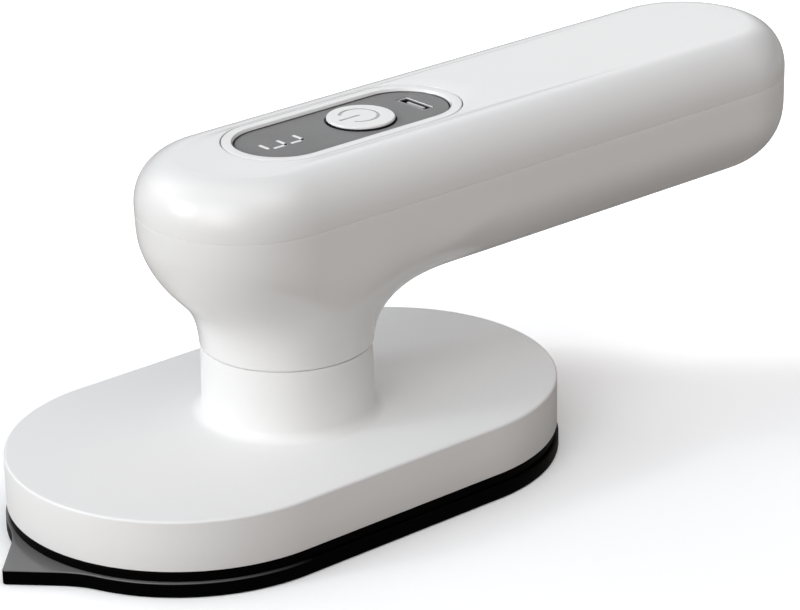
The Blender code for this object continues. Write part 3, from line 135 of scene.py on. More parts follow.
class NeckSizes(PropertyGroup):
    """Sizes of the neck that flares from the collar into the grip."""
    seam: length("Seam", "Height of the neck's lower end", 0.0325)
    radius: length("Radius", "Radius of the neck at its lower end", 0.0183)
    front_width: length("Front width", "Reach of the flare at the front", 0.0198)
    front_height: length("Front height", "Rise of the flare at the front", 0.0290)
    rear_width: length("Rear width", "Reach of the flare at the rear", 0.0259)
    rear_height: length("Rear height", "Rise of the flare at the rear", 0.0210)
    blend: length("Blend", "Size of the smooth join of neck and grip", 0.0086)
    ease_start: length("Ease start", "Distance from the axis where the flare starts to rise away",
                       0.0300)
    ease: amount("Ease", "Rise of the flare past that distance, per metre squared", 30.0, 0.0, 99.0)
    softness: length("Softness", "How far the bends of the grip's profile are softened", 0.0012)
    neck_softness: length("Neck softness", "How far the neck's bends are softened", 0.0046)
    floor_low: length("Floor bottom", "Lower face of the neck's floor", 0.0330)
    floor_high: length("Floor top", "Upper face of the neck's floor", 0.0362)
    bore: length("Bore", "Radius of the hole for the hollow shaft", 0.0084)
    lug_radius: length("Lug radius", "Distance of the stop lug from the axis", 0.0149)


class PanelSizes(PropertyGroup):
    """Sizes of the control panel, its rim, the button and the port."""
    front: length("Front", "Front end of the panel", PANEL_BOX[0][0])
    rear: length("Rear", "Rear end of the panel", PANEL_BOX[1][0])
    half_width: length("Half width", "Half of the panel's width", PANEL_BOX[1][1])
    bottom: length("Bottom", "Height of the panel's lower face", PANEL_BOX[0][2])
    top: length("Top", "Height of the panel's face", 0.0763)
    rim_width: length("Rim width", "Width of the white rim round the panel", 0.0026)
    rim_slope: length("Rim slope", "Width of the rim's inner slope", 0.0006)
    rim_shadow: length("Rim shadow", "Height of the dark line at the slope's foot", 0.00012)
    groove: length("Groove", "Fine groove between the rim and the handle", 0.00014)
    button_gap: length("Button gap", "Open gap round the button", 0.0004)
    # Painted shade: the button turns dark below this depth under its face.
    button_skirt: length("Button skirt", "Depth at which the button's dark seal begins", 0.00050)
    symbol_x: length("Symbol place", "Place of the symbol from the button's middle, along", 0.0001)
    symbol_y: length("Symbol offset", "Place of the symbol from the button's middle, across",
                     0.0006)
    button_x: length("Button place", "Place of the button along the handle", 0.0218)
    button_radius: length("Button radius", "Radius of the button's face", 0.00735)
    button_top: length("Button top", "Height of the button's face", 0.07716)
    port_x: length("Port place", "Place of the charge port along the handle", 0.0371)
    port_width: length("Port width", "Width of the port across the handle", 0.0090)
    port_depth: length("Port depth", "Size of the port along the handle", 0.0032)
    mark_width: length("Mark width", "Width of the strokes of the light marks", 0.00085)


class HeadSizes(PropertyGroup):
    """Sizes of the pressing head."""
    front: length("Front", "Front end of the cover", COVER_BOX[0][0])
    rear: length("Rear", "Rear end of the cover", COVER_BOX[1][0])
    half_width: length("Half width", "Half of the cover's width", COVER_BOX[1][1])
    cover_bottom: length("Cover bottom", "Height of the cover's lower edge", COVER_BOX[0][2])
    cover_top: length("Cover top", "Height of the cover's flat top", 0.0168)
    cover_edge: length("Cover edge", "Radius of the cover's upper edge", 0.00055)
    wall: length("Wall", "Thickness of the cover", 0.0020)
    collar_radius: length("Collar radius", "Radius of the collar at its top", 0.0183)
    collar_foot: length("Collar foot", "Radius of the collar above its foot", 0.0185)
    collar_fillet: length("Collar fillet", "Radius of the fillet at the collar's foot", 0.0025)
    collar_top: length("Collar top", "Height of the collar", 0.03240)
    shield_bottom: length("Shield bottom", "Height of the shield ring's lower face", 0.00335)
    shield_inset: length("Shield inset", "How far the shield ring lies behind the sole", 0.0006)
    shield_top: length("Shield top", "Height of the shield ring's flange", 0.0054)
    proud: length("Proud", "How far the sole and the shield stand out past the cover", 0.0003)
    sole_top: length("Sole thickness", "Thickness of the sole's edge", 0.0033)
    tip_reach: length("Tip reach", "How far the tip stands out past the sole's round end", 0.00952)
    tip_flare: length("Tip flare", "Radius of the hollow flanks of the tip", 0.0220)
    tip_point: length("Tip point", "Radius of the tip's point", 0.0006)


class Finishes(PropertyGroup):
    """Colours of the visible finishes."""
    gloss_white: colour("Gloss white", "Handle, rim and button", (0.84, 0.84, 0.835))
    satin_white: colour("Satin white", "Cover of the head", (0.84, 0.84, 0.835))
    panel_grey: colour("Panel grey", "Face of the control panel", (0.208, 0.208, 0.208))
    sole_black: colour("Sole black", "Coated sole", (0.0006, 0.0006, 0.0006))
    # Painted reflection: grey laid on the sole's upper face near the tip.
    sole_worn: colour("Sole worn", "Upper face of the sole", (0.15, 0.15, 0.15))
    shield_black: colour("Shield black", "Ring above the sole", (0.0006, 0.0006, 0.0006))
    mark_white: colour("Mark white", "Light marks on the panel", (0.90, 0.90, 0.90))
    # The engraving's grey floor is partly the symbol's own grey and partly painted groove shade.
    symbol_grey: colour("Symbol grey", "Engraved symbol of the button", (0.42, 0.42, 0.42))


class StageSettings(PropertyGroup):
    """Floor, lamps and background."""
    light: amount("Light", "Strength of all lamps together", 1.0, 0.0, 10.0)
    world_light: amount("World light", "Strength of the even light", 0.01, 0.0, 2.0)
    spark: amount("Spark", "Strength of the small lamp that makes the highlight", 0.16, 0.0, 2.0)
    floor_shade: amount("Floor shade", "Brightness of the floor to the camera", 0.58)
    # Painted light: the floor glows to the camera behind the object, washing its shadow out there.
    floor_glow: amount("Floor glow", "Light that the backdrop adds behind the object", 0.30)
    floor_bounce: colour("Floor bounce", "Colour of the light that the floor throws back",
                         (0.36, 0.34, 0.32))


def settings(group):
    """The current values of one group of settings."""
    return getattr(bpy.context.scene.heat_press, group)


class PressSettings(PropertyGroup):
    """All settings of the heat press."""
    handle: PointerProperty(type=HandleSizes)
    neck: PointerProperty(type=NeckSizes)
    panel: PointerProperty(type=PanelSizes)
    head: PointerProperty(type=HeadSizes)
    finishes: PointerProperty(type=Finishes)
    stage: PointerProperty(type=StageSettings)


# Meshes

def even_angles(columns):
    """Angles spread evenly over a full turn, half a step away from its ends."""
    return (np.arange(columns) + 0.5) / columns * FULL_TURN


def smooth_step(share):
    """Three squares less two cubes of a share that is kept within 0 and 1."""
    share = np.clip(share, 0, 1)
    return share**2 * (3 - 2 * share)


def between(first, last, share):
    """The value at a share of the way from the first to the last."""
    return first + (last - first) * share


def grid_faces(rows, columns, rows_closed):
    """Corner numbers of the quads between neighbouring rows of closed rings of points."""
    low = np.arange(rows if rows_closed else rows - 1)[:, None] * columns
    high = (low + columns) % (rows * columns)
    here = np.arange(columns)
    there = (here + 1) % columns
    return np.stack([low + here, low + there, high + there, high + here], axis=-1).reshape(-1, 4)


def signed_volume(points, quads):
    """Six times the volume inside a grid, positive where its quads point outwards."""
    a, b, c, d = (points[quads[:, k]] for k in range(4))
    return float(np.sum(np.cross(a, b) * c) + np.sum(np.cross(a, c) * d))


def smooth_mesh(mesh):
    """Shade a mesh smooth, apart from edges where its faces turn sharply."""
    mesh.shade_smooth()
    mesh.set_sharp_from_angle(angle=SMOOTH_ANGLE)


def new_object(name, data):
    """A new object in the scene."""
    item = bpy.data.objects.new(name, data)
    bpy.context.scene.collection.objects.link(item)
    return item


def grid_piece(name, *grids, rows_closed=False):
    """One mesh from grids of points (rows, columns, 3), whose rows are closed rings.

    The rows close on themselves too, or else the first and the last are capped by flat faces.
    Each grid is turned so that its faces point outwards.
    """
    points, faces, start = [], [], 0
    for grid in grids:
        rows, columns = grid.shape[:2]
        flat = grid.reshape(-1, 3)
        quads = grid_faces(rows, columns, rows_closed)
        first = np.arange(columns)[::-1]
        last = (rows - 1) * columns + np.arange(columns)
        if signed_volume(flat - flat.mean(axis=0), quads) < 0:
            quads, first, last = quads[:, ::-1], first[::-1], last[::-1]
        faces += (quads + start).tolist()
        if not rows_closed:
            faces += [(first + start).tolist(), (last + start).tolist()]
        points.append(flat)
        start += len(flat)
    mesh = bpy.data.meshes.new(name)
    mesh.from_pydata(np.concatenate(points).tolist(), [], faces)
    mesh.update()
    smooth_mesh(mesh)
    return new_object(name, mesh)


def finish_piece(piece, body, slot, material, *nodes):
    """Give a piece its material, the body it rides on and the nodes that it stands for."""
    piece.data.materials.clear()
    piece.data.materials.append(material)
    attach(piece, body)
    if nodes:
        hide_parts(*nodes)


def carve(piece, tools):
    """Cut tools from a piece by Booleans, apply them and remove the tools."""
    for tool in tools:
        step = piece.modifiers.new(tool.name, "BOOLEAN")
        step.object = tool
        step.operation = "DIFFERENCE"
        step.solver = "EXACT"
    view = bpy.context.evaluated_depsgraph_get()
    carved = bpy.data.meshes.new_from_object(piece.evaluated_get(view))
    piece.modifiers.clear()
    piece.data = carved
    carved.name = piece.name
    smooth_mesh(carved)
    for tool in tools:
        bpy.data.objects.remove(tool, do_unlink=True)


def rings_at(x, y, heights):
    """Rings of points at plan places x and y, each ring at its own height."""
    return np.stack([x, y, np.broadcast_to(np.array(heights)[:, None], x.shape)], axis=-1)


def outline_frame(front, rear, radius, columns):
    """Middle-line place and outward angle for points spread evenly round a long round outline.

    The outline is two half circles joined by straight sides. Each of its points is one radius
    out from its nearest point on the middle line, so an inset moves all points straight in.
    """
    straight = rear - front - 2 * radius
    quarter = QUARTER_TURN * radius
    stops = np.cumsum([0, quarter, straight, 2 * quarter, straight, quarter])
    along = (np.arange(columns) + 0.5) / columns * stops[-1]
    middle = np.interp(along, stops, [rear - radius] * 2 + [front + radius] * 2
                       + [rear - radius] * 2)
    angle = np.interp(along, stops, np.array([0, 1, 1, 3, 3, 4]) * QUARTER_TURN)
    return middle, angle


def outline_rings(front, rear, radius, profile, columns):
    """A profile of (inset, height) pairs carried round a long round outline."""
    middle, angle = outline_frame(front, rear, radius, columns)
    profile = np.array(profile, dtype=float)
    reach = radius - profile[:, :1]
    return rings_at(middle + reach * np.cos(angle), reach * np.sin(angle), profile[:, 1])


def around(sizes, profile, columns, grow=0.0):
    """A profile carried round the outline of the handle, the panel or the head, made larger."""
    return outline_rings(sizes.front - grow, sizes.rear + grow, sizes.half_width + grow, profile,
                         columns)


def turned_rings(profile, columns, middle):
    """A profile of (radius, height) pairs turned round an upright axis at a plan point."""
    profile = np.array(profile, dtype=float)
    angle = even_angles(columns)
    return rings_at(middle[0] + profile[:, :1] * np.cos(angle),
                    middle[1] + profile[:, :1] * np.sin(angle), profile[:, 1])


def blend_rings(first, last, count):
    """Rings on straight lines between the matching points of two rings, spread evenly."""
    return between(first, last, np.linspace(0, 1, count + 2)[1:-1, None, None])


def arc_pairs(middle, radii, start, end, steps):
    """Pairs on an ellipse's arc: middle plus (radius * cos, height * sin) of the angle."""
    angle = np.linspace(start, end, steps + 1)
    return np.stack([middle[0] + radii[0] * np.cos(angle), middle[1] + radii[1] * np.sin(angle)],
                    axis=-1).tolist()


def upper_edge(inset, height, radius, steps):
    """Quarter round from a profile's side at an inset in to its upper face at a height."""
    return arc_pairs((inset + radius, height - radius), (-radius, radius), 0, QUARTER_TURN, steps)


def lower_edge(inset, height, radius, steps):
    """Quarter round from a profile's lower face at a height out to its side at an inset."""
    return arc_pairs((inset + radius, height + radius), (-radius, -radius), QUARTER_TURN, 0, steps)


def rounded_slot(middle, width, depth, corner, heights, insets=None):
    """Rings of a rounded rectangle in plan: depth along X, width along Y.

    Each point lies one radius out from the middle of its corner. An inset moves a ring's sides in
    and takes as much off the radius, down to a fifth of it.
    """
    inset = np.array(insets or [0.0] * len(heights))[:, None]
    radius = np.maximum(corner - inset, corner / 5)
    angle = even_angles(HOLE_COLUMNS)
    x = middle[0] + np.sign(np.cos(angle)) * (depth / 2 - inset - radius) + radius * np.cos(angle)
    y = middle[1] + np.sign(np.sin(angle)) * (width / 2 - inset - radius) + radius * np.sin(angle)
    return rings_at(x, y, heights)


# Node groups and materials

COLOUR, VECTOR, NUMBER = "NodeSocketColor", "NodeSocketVector", "NodeSocketFloat"
SKIN_OUTPUTS = (("Colour", COLOUR), ("Roughness", NUMBER), ("Height", NUMBER))
NODE_STEP = 200


def add_node(tree, kind, second=None, **values):
    """Add a node in line; values name its settings or its inputs, and second is its input 1."""
    node = tree.nodes.new("ShaderNode" + kind)
    node.location = (NODE_STEP * len(tree.nodes), 0)
    for name, value in values.items():
        if hasattr(node, name):
            setattr(node, name, value)
        else:
            node.inputs[name.replace("_", " ")].default_value = value
    if second is not None:
        node.inputs[1].default_value = second
    return node


def join(tree, *rows):
    """Link sockets; each row is a node, its output, the next node and that node's input."""
    for node, output, following, entry in rows:
        tree.links.new(node.outputs[output], following.inputs[entry])


def own_place(tree):
    """Nodes that give a point's own place, as one vector and as X, Y and Z."""
    place, split = add_node(tree, "TexCoord"), add_node(tree, "SeparateXYZ")
    join(tree, (place, "Object", split, "Vector"))
    return place, split


def shared_group(name, inputs, outputs, fill):
    """A shader node group with named sockets, built once; fill adds what joins them."""
    if name not in bpy.data.node_groups:
        tree = bpy.data.node_groups.new(name, "ShaderNodeTree")
        for label, kind, value in inputs:
            socket = tree.interface.new_socket(name=label, in_out="INPUT", socket_type=kind)
            socket.default_value = value
        for label, kind in outputs:
            tree.interface.new_socket(name=label, in_out="OUTPUT", socket_type=kind)
        fill(tree, tree.nodes.new("NodeGroupInput"), tree.nodes.new("NodeGroupOutput"))
    return bpy.data.node_groups[name]


def fill_moulded(tree, start, end):
    """Slow noise drifts the colour and, added to fine noise, the roughness; the fine is height."""
    place = add_node(tree, "TexCoord")
    drift = add_node(tree, "TexNoise", Detail=3.0)
    grain = add_node(tree, "TexNoise", Detail=2.0)
    spread = add_node(tree, "MapRange", From_Min=0.35, From_Max=0.65)
    mixed = add_node(tree, "Mix", data_type="RGBA")
    both = add_node(tree, "Math", operation="ADD")
    rough = add_node(tree, "MapRange", From_Min=0.7, From_Max=1.3)
    join(tree, (place, "Object", drift, "Vector"), (start, "Drift Scale", drift, "Scale"),
         (place, "Object", grain, "Vector"), (start, "Grain Scale", grain, "Scale"),
         (drift, "Fac", spread, "Value"), (spread, "Result", mixed, "Factor"),
         (start, "Colour", mixed, "A"), (start, "Shade", mixed, "B"),
         (grain, "Fac", both, 0), (drift, "Fac", both, 1), (both, "Value", rough, "Value"),
         (start, "Rough Low", rough, "To Min"), (start, "Rough High", rough, "To Max"),
         (mixed, "Result", end, "Colour"), (rough, "Result", end, "Roughness"),
         (grain, "Fac", end, "Height"))


def moulded_group():
    """Moulded surface: slow shade and roughness variation with a fine skin over it."""
    return shared_group("moulded_surface", (
        ("Colour", COLOUR, (0.8, 0.8, 0.8, 1)), ("Shade", COLOUR, (0.78, 0.78, 0.78, 1)),
        ("Grain Scale", NUMBER, 900.0), ("Drift Scale", NUMBER, 22.0),
        ("Rough Low", NUMBER, 0.2), ("Rough High", NUMBER, 0.3)), SKIN_OUTPUTS, fill_moulded)


def fill_brushed(tree, start, end):
    """Noise drawn out along X gives lines that shift the colour, the roughness and the height."""
    place = add_node(tree, "TexCoord")
    drawn = add_node(tree, "Mapping", Scale=(0.06, 1.0, 1.0))
    lines = add_node(tree, "TexNoise", Detail=4.0)
    mixed = add_node(tree, "Mix", data_type="RGBA")
    rough = add_node(tree, "MapRange")
    join(tree, (place, "Object", drawn, "Vector"), (drawn, "Vector", lines, "Vector"),
         (start, "Line Scale", lines, "Scale"), (lines, "Fac", mixed, "Factor"),
         (start, "Colour", mixed, "A"), (start, "Shade", mixed, "B"),
         (lines, "Fac", rough, "Value"), (start, "Rough Low", rough, "To Min"),
         (start, "Rough High", rough, "To Max"), (mixed, "Result", end, "Colour"),
         (rough, "Result", end, "Roughness"), (lines, "Fac", end, "Height"))


def brushed_group():
    """Brushed metal: fine lines in colour, roughness and height."""
    return shared_group("brushed_lines", (
        ("Colour", COLOUR, (0.6, 0.6, 0.6, 1)), ("Shade", COLOUR, (0.5, 0.5, 0.5, 1)),
        ("Line Scale", NUMBER, 400.0), ("Rough Low", NUMBER, 0.25),
        ("Rough High", NUMBER, 0.4)), SKIN_OUTPUTS, fill_brushed)


def finish(name, group, base, shade, values, bump, shader_values=None):
    """A Principled material fed by one group; bump is its strength and distance.

    Its colour lies between the base and the base times the shade.
    """
    made = bpy.data.materials.new(name)
    made.use_nodes = True
    tree = made.node_tree
    shader = tree.nodes["Principled BSDF"]
    skin = add_node(tree, "Group", node_tree=group, Colour=(*base, 1),
                    Shade=(*(channel * shade for channel in base), 1), **values)
    relief = add_node(tree, "Bump", Strength=bump[0], Distance=bump[1])
    join(tree, (skin, "Colour", shader, "Base Color"), (skin, "Roughness", shader, "Roughness"),
         (skin, "Height", relief, "Height"), (relief, "Normal", shader, "Normal"))
    for label, value in (shader_values or {}).items():
        shader.inputs[label].default_value = value
    return made


def moulded(name, base, shade, grain, drift, rough, bump, shader_values=None):
    """A moulded finish: scales of its grain and drift, and the range of its roughness."""
    return finish(name, moulded_group(), base, shade,
                  {"Grain Scale": grain, "Drift Scale": drift, "Rough Low": rough[0],
                   "Rough High": rough[1]}, bump, shader_values)


# Shade, scales of grain and drift, roughness, bump and the shader's values of the glossy handle,
# the spark-eroded cover, the satin panel and the print of the light marks.
PLASTICS = {
    "gloss_white": (0.985, 700.0, 14.0, (0.16, 0.20), (0.05, 0.00001),
                    {"IOR": 1.5, "Coat Weight": 0.25, "Coat Roughness": 0.08}),
    "satin_white": (0.98, 1600.0, 18.0, (0.42, 0.52), (0.16, 0.00003), {"IOR": 1.36}),
    "panel_grey": (0.94, 1800.0, 60.0, (0.40, 0.50), (0.12, 0.00002),
                   {"IOR": 1.46, "Specular IOR Level": 0.3}),
    "mark_white": (0.97, 2500.0, 90.0, (0.35, 0.45), (0.05, 0.00001)),
}


def plastic(kind, name=None):
    """A visible plastic in its colour from the settings."""
    return moulded(name or kind, getattr(settings("finishes"), kind), *PLASTICS[kind])


def coated_black(name, kind, rough):
    """A black with hardly any gloss of its own, in its colour from the settings."""
    return moulded(name, getattr(settings("finishes"), kind), 1.6, 1200.0, 40.0,
                   (rough, rough + 0.08), (0.06, 0.00002),
                   {"IOR": 1.45, "Specular IOR Level": 0.03})


def metal(name, base, rough, scale=400.0):
    """Bare metal with fine drawn lines."""
    shade, rough_range, bump = 0.82, 0.18, (0.15, 0.00002)
    return finish(name, brushed_group(), base, shade,
                  {"Line Scale": scale, "Rough Low": rough, "Rough High": rough + rough_range},
                  bump, {"Metallic": 1.0})


def matt(name, base, rough, grain=1500.0, bump=0.2, shade=0.85, shader_values=None):
    """A matt moulded or fibrous finish."""
    return moulded(name, base, shade, grain, 60.0, (rough, min(1.0, rough + 0.12)),
                   (bump, 0.00005), shader_values)


def tone_by(made, mask, tone):
    """Mix a material's colour towards a tone, by the value that a mask node gives."""
    tree = made.node_tree
    shader = tree.nodes["Principled BSDF"]
    mixed = add_node(tree, "Mix", data_type="RGBA", B=(*tone, 1))
    tree.links.new(shader.inputs["Base Color"].links[0].from_socket, mixed.inputs["A"])
    join(tree, (mask, "Value", mixed, "Factor"), (mixed, "Result", shader, "Base Color"))


def sole_coat():
    """Black sole coat; near the tip its upper face gets a coat and a painted grey reflection."""
    head = settings("head")
    grey_from, grey_full, band_low, band_high, coat_weight = 0.040, 0.006, 0.0003, 0.0001, 0.4
    made = coated_black("sole_coat", "sole_black", 0.30)
    tree = made.node_tree
    shader = tree.nodes["Principled BSDF"]
    shader.inputs["Coat IOR"].default_value = 2.0
    shader.inputs["Coat Roughness"].default_value = 0.14
    split = own_place(tree)[1]
    upper = add_node(tree, "MapRange", From_Min=head.sole_top - band_low,
                     From_Max=head.sole_top - band_high)
    tipward = add_node(tree, "MapRange", From_Min=head.front + grey_from,
                       From_Max=head.front + grey_full)
    at_tip = add_node(tree, "Math", operation="MULTIPLY")
    coat = add_node(tree, "Math", operation="MULTIPLY", second=coat_weight)
    join(tree, (split, "Z", upper, "Value"), (split, "X", tipward, "Value"),
         (tipward, "Result", at_tip, 0), (upper, "Result", at_tip, 1),
         (at_tip, "Value", coat, 0), (coat, "Value", shader, "Coat Weight"))
    # Painted reflection: the upper face near the tip is mixed towards grey.
    tone_by(made, at_tip, settings("finishes").sole_worn)
    return made


def dark_below(made, height, tone=0.012):
    """Darken a material below a height, a painted shade such as falls in a gap."""
    tree = made.node_tree
    below = add_node(tree, "Math", operation="LESS_THAN", second=height)
    join(tree, (own_place(tree)[1], "Z", below, 0))
    tone_by(made, below, (tone, tone, tone))
    return made


def engraved_white():
    """White of the button, turning grey on the floor of the engraved symbol."""
    panel = settings("panel")
    grey_below, white_above, edge = 0.00010, 0.00004, 0.0008
    made = plastic("gloss_white", "engraved_white")
    tree = made.node_tree
    place, split = own_place(tree)
    depth = add_node(tree, "MapRange", From_Min=panel.button_top - grey_below,
                     From_Max=panel.button_top - white_above, To_Min=1.0, To_Max=0.0)
    sideways = add_node(tree, "Mapping", Location=(-panel.button_x, 0, 0))
    level = add_node(tree, "VectorMath", operation="MULTIPLY", second=(1, 1, 0))
    size = add_node(tree, "VectorMath", operation="LENGTH")
    inside = add_node(tree, "Math", operation="LESS_THAN", second=panel.button_radius - edge)
    mask = add_node(tree, "Math", operation="MULTIPLY")
    join(tree, (split, "Z", depth, "Value"), (place, "Object", sideways, "Vector"),
         (sideways, "Vector", level, 0), (level, "Vector", size, 0),
         (size, "Value", inside, 0), (depth, "Result", mask, 0), (inside, "Value", mask, 1))
    # The engraving's grey floor is partly the symbol's own grey and partly painted groove shade.
    tone_by(made, mask, settings("finishes").symbol_grey)
    # Painted shade: the button turns dark below its face's edge, where the gap is shaded.
    return dark_below(made, panel.button_top - panel.button_skirt)


# Makers and values of the inner pieces' finishes, by material slot.
INNER_FINISHES = {
    "bright_steel": (metal, (0.62, 0.62, 0.63), 0.22),
    "heater_sheath": (metal, (0.36, 0.32, 0.28), 0.38, 900.0),
    "nickel_strip": (metal, (0.60, 0.57, 0.51), 0.28),
    "bush_resin": (matt, (0.56, 0.54, 0.49), 0.45),
    "insulation_fibre": (matt, (0.70, 0.66, 0.57), 0.88, 700.0, 0.9, 0.78),
    "sensor_ceramic": (matt, (0.80, 0.77, 0.70), 0.55, 2000.0),
    "board_laminate": (matt, (0.03, 0.17, 0.07), 0.35, 350.0, 0.25, 0.6),
    "black_plastic": (matt, (0.018, 0.018, 0.019), 0.45),
    "cell_sleeve": (matt, (0.06, 0.22, 0.46), 0.28, 500.0, 0.1, 0.9,
                    {"Coat Weight": 0.4, "Coat Roughness": 0.15}),
    "light_guide_resin": (matt, (0.86, 0.88, 0.89), 0.14, 900.0, 0.05, 0.97,
                          {"Transmission Weight": 0.7, "IOR": 1.49}),
    "led_package": (matt, (0.90, 0.87, 0.66), 0.35, 2200.0),
    "silicone_sleeve": (matt, (0.44, 0.05, 0.04), 0.55, 1400.0, 0.3),
    "black_heat_resin": (coated_black, "shield_black", 0.34),
}
PLASTIC_SLOTS = {
    "white_gloss_plastic": "gloss_white",
    "white_satin_plastic": "satin_white",
    "grey_panel_plastic": "panel_grey",
}


def slot_finish(slot):
    """The finish of a material slot, for the frame's own pieces."""
    if slot == "black_coated_aluminium":
        return sole_coat()
    if slot in PLASTIC_SLOTS:
        return plastic(PLASTIC_SLOTS[slot])
    maker, *values = INNER_FINISHES[slot]
    return maker(slot, *values)


# Shapes of the handle

def middle_line_distance(handle, x, y):
    """Distance of plan points from the line that joins the middles of the round ends."""
    start = handle.front + handle.half_width
    end = handle.rear - handle.half_width
    return np.hypot(x - np.clip(x, start, end), y)


def underside_height(handle, neck, x, y):
    """Height of the lower shell's outer face over plan points.

    The grip is flat with a rounded edge, a superellipse that changes behind the neck. The neck is a
    quarter of an ellipse that widens from the front to the rear. A smooth minimum joins them.
    """
    rearward = smooth_step(x / handle.edge_change)
    width = between(handle.front_edge_width, handle.grip_edge_width, rearward)
    height = between(handle.front_edge_height, handle.grip_edge_height, rearward)
    power = between(handle.front_edge_power, handle.grip_edge_power, rearward)
    edge = middle_line_distance(handle, x, y) - (handle.half_width - width)
    edge = np.clip(edge / width, 0, 1)
    grip = handle.bottom + height * (1 - (1 - edge**power) ** (1 / power))
    distance = np.hypot(x, y)
    rearward = (1 + x / distance) / 2
    width = between(neck.front_width, neck.rear_width, rearward)
    height = between(neck.front_height, neck.rear_height, rearward)
    reach = np.clip((neck.radius + width - distance) / width, 0, 1)
    beyond = np.clip(distance - neck.ease_start, 0, None)
    flare = neck.seam + height * np.sqrt(1 - reach**2) + neck.ease * beyond**2
    mix = np.clip(0.5 + 0.5 * (flare - grip) / neck.blend, 0, 1)
    return between(flare, grip, mix) - neck.blend * mix * (1 - mix)


def outline_reach(handle, angles):
    """Distance from the swivel axis to the handle's outline in each direction, by halving."""
    low = np.zeros_like(angles)
    high = np.full_like(angles, handle.rear - handle.front)
    for _ in range(45):
        middle = (low + high) / 2
        inside = middle_line_distance(handle, middle * np.cos(angles),
                                      middle * np.sin(angles)) < handle.half_width
        low = np.where(inside, middle, low)
        high = np.where(inside, high, middle)
    return (low + high) / 2


def bell_weights(spread, step):
    """Weights of a running average shaped like a bell, in even steps."""
    reach = int(np.ceil(3.2 * spread / step))
    weights = np.exp(-0.5 * (np.arange(-reach, reach + 1) * step / spread) ** 2)
    return weights / weights.sum()


def averaged(distance, height, gap, weights):
    """Running average of a profile that goes on straight up and straight down past its ends."""
    reach = len(weights) // 2
    before, after = gap * np.arange(-reach, 0), gap * np.arange(1, reach + 1)
    long_height = np.concatenate([height[0] + before, height, height[-1] + after])
    long_distance = np.pad(distance, reach, mode="edge")
    return (np.convolve(long_distance, weights, mode="valid"),
            np.convolve(long_height, weights, mode="valid"))


def soften(neck, distance, height):
    """Round the bends of each column's profile, the more so the nearer they are to the neck."""
    step = neck.softness / 4
    near_weights = bell_weights(neck.neck_softness, step)
    far_weights = bell_weights(neck.softness, step)
    even = np.linspace(0, 1, PROFILE_STEPS)
    soft = []
    for d, h in zip(distance, height):
        along = np.concatenate(([0], np.cumsum(np.hypot(np.diff(d), np.diff(h)))))
        places = np.linspace(0, along[-1], int(along[-1] / step))
        d, h = np.interp(places, along, d), np.interp(places, along, h)
        far = smooth_step((d - neck.radius - SOFT_START) / SOFT_CHANGE)
        share = np.linspace(0, 1, len(d))
        soft.append([np.interp(even, share, between(near, away, far)) for near, away in zip(
            averaged(d, h, places[1], near_weights), averaged(d, h, places[1], far_weights))])
    soft = np.array(soft)
    return soft[:, 0], soft[:, 1]


def lower_skin(handle, neck, columns, rows, rim):
    """Rows of points up the lower shell's outer face, from the neck's seam to the rim.

    Each column lies in a plane through the swivel axis. Columns are spread by a sum of angle
    and outline length, rows by a sum of length and turning, so bends get more points.
    """
    fine = np.linspace(0, FULL_TURN, 4001)
    reach = outline_reach(handle, fine)
    run = np.hypot(np.diff(reach * np.cos(fine)), np.diff(reach * np.sin(fine)))
    length_share = np.concatenate(([0], np.cumsum(run))) / run.sum()
    spread = (length_share + fine / FULL_TURN) / 2
    angles = np.interp((np.arange(columns) + 0.5) / columns, spread, fine)
    reach = outline_reach(handle, angles)
    share = (1 - np.cos(np.linspace(0, HALF_TURN, PROFILE_STEPS))) / 2
    distance = between(neck.radius, reach[:, None], share)
    x = distance * np.cos(angles)[:, None]
    y = distance * np.sin(angles)[:, None]
    height = underside_height(handle, neck, x, y)
    distance = np.concatenate([distance, reach[:, None]], axis=1)
    height = np.concatenate([height, np.full((columns, 1), rim)], axis=1)
    distance, height = soften(neck, distance, height)
    run = np.hypot(np.diff(distance), np.diff(height))
    heading = np.unwrap(np.arctan2(np.diff(height), np.diff(distance)), axis=1)
    turning = np.abs(np.diff(heading, prepend=heading[:, :1]))
    step = run / run.sum(axis=1, keepdims=True) + turning / turning.sum(axis=1, keepdims=True)
    measure = np.concatenate([np.zeros((columns, 1)), np.cumsum(step, axis=1)], axis=1)
    measure = measure / measure[:, -1:]
    evenly = np.linspace(0, 1, rows)
    radial = np.stack([np.interp(evenly, m, d) for m, d in zip(measure, distance)], axis=1)
    level = np.stack([np.interp(evenly, m, h) for m, h in zip(measure, height)], axis=1)
    return np.stack([radial * np.cos(angles), radial * np.sin(angles), level], axis=-1)


def skin_normals(rows):
    """Unit normals that point out of a skin of rows, level at its last row."""
    around_it = np.roll(rows, -1, axis=1) - np.roll(rows, 1, axis=1)
    normals = np.cross(around_it, np.gradient(rows, axis=0))
    normals[[0, -1], :, 2] = 0
    return normals / np.linalg.norm(normals, axis=2, keepdims=True)


def axis_rings(angles, pairs, dent_rows, dent):
    """Rings round the swivel axis at given angles; the dent is added to some rings' heights."""
    radii, heights = np.array(pairs, dtype=float).T
    level = np.repeat(heights[:, None], len(angles), axis=1)
    level[list(dent_rows)] += dent
    return np.stack([radii[:, None] * np.cos(angles), radii[:, None] * np.sin(angles), level],
                    axis=-1)


def dent_at(angles, middle, half, depth):
    """Minus the depth where an angle is within half of the middle, else 0."""
    turned = (angles - middle + HALF_TURN) % FULL_TURN - HALF_TURN
    return np.where(np.abs(turned) < half, -depth, 0.0)


def well_places():
    """Places of the three handle screws and the heights of their ends, read from the frame."""
    boxes = [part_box(f"handle_screw_{number}") for number in (1, 2, 3)]
    return [((low[0] + high[0]) / 2, (low[1] + high[1]) / 2, low[2], high[2])
            for low, high in boxes]


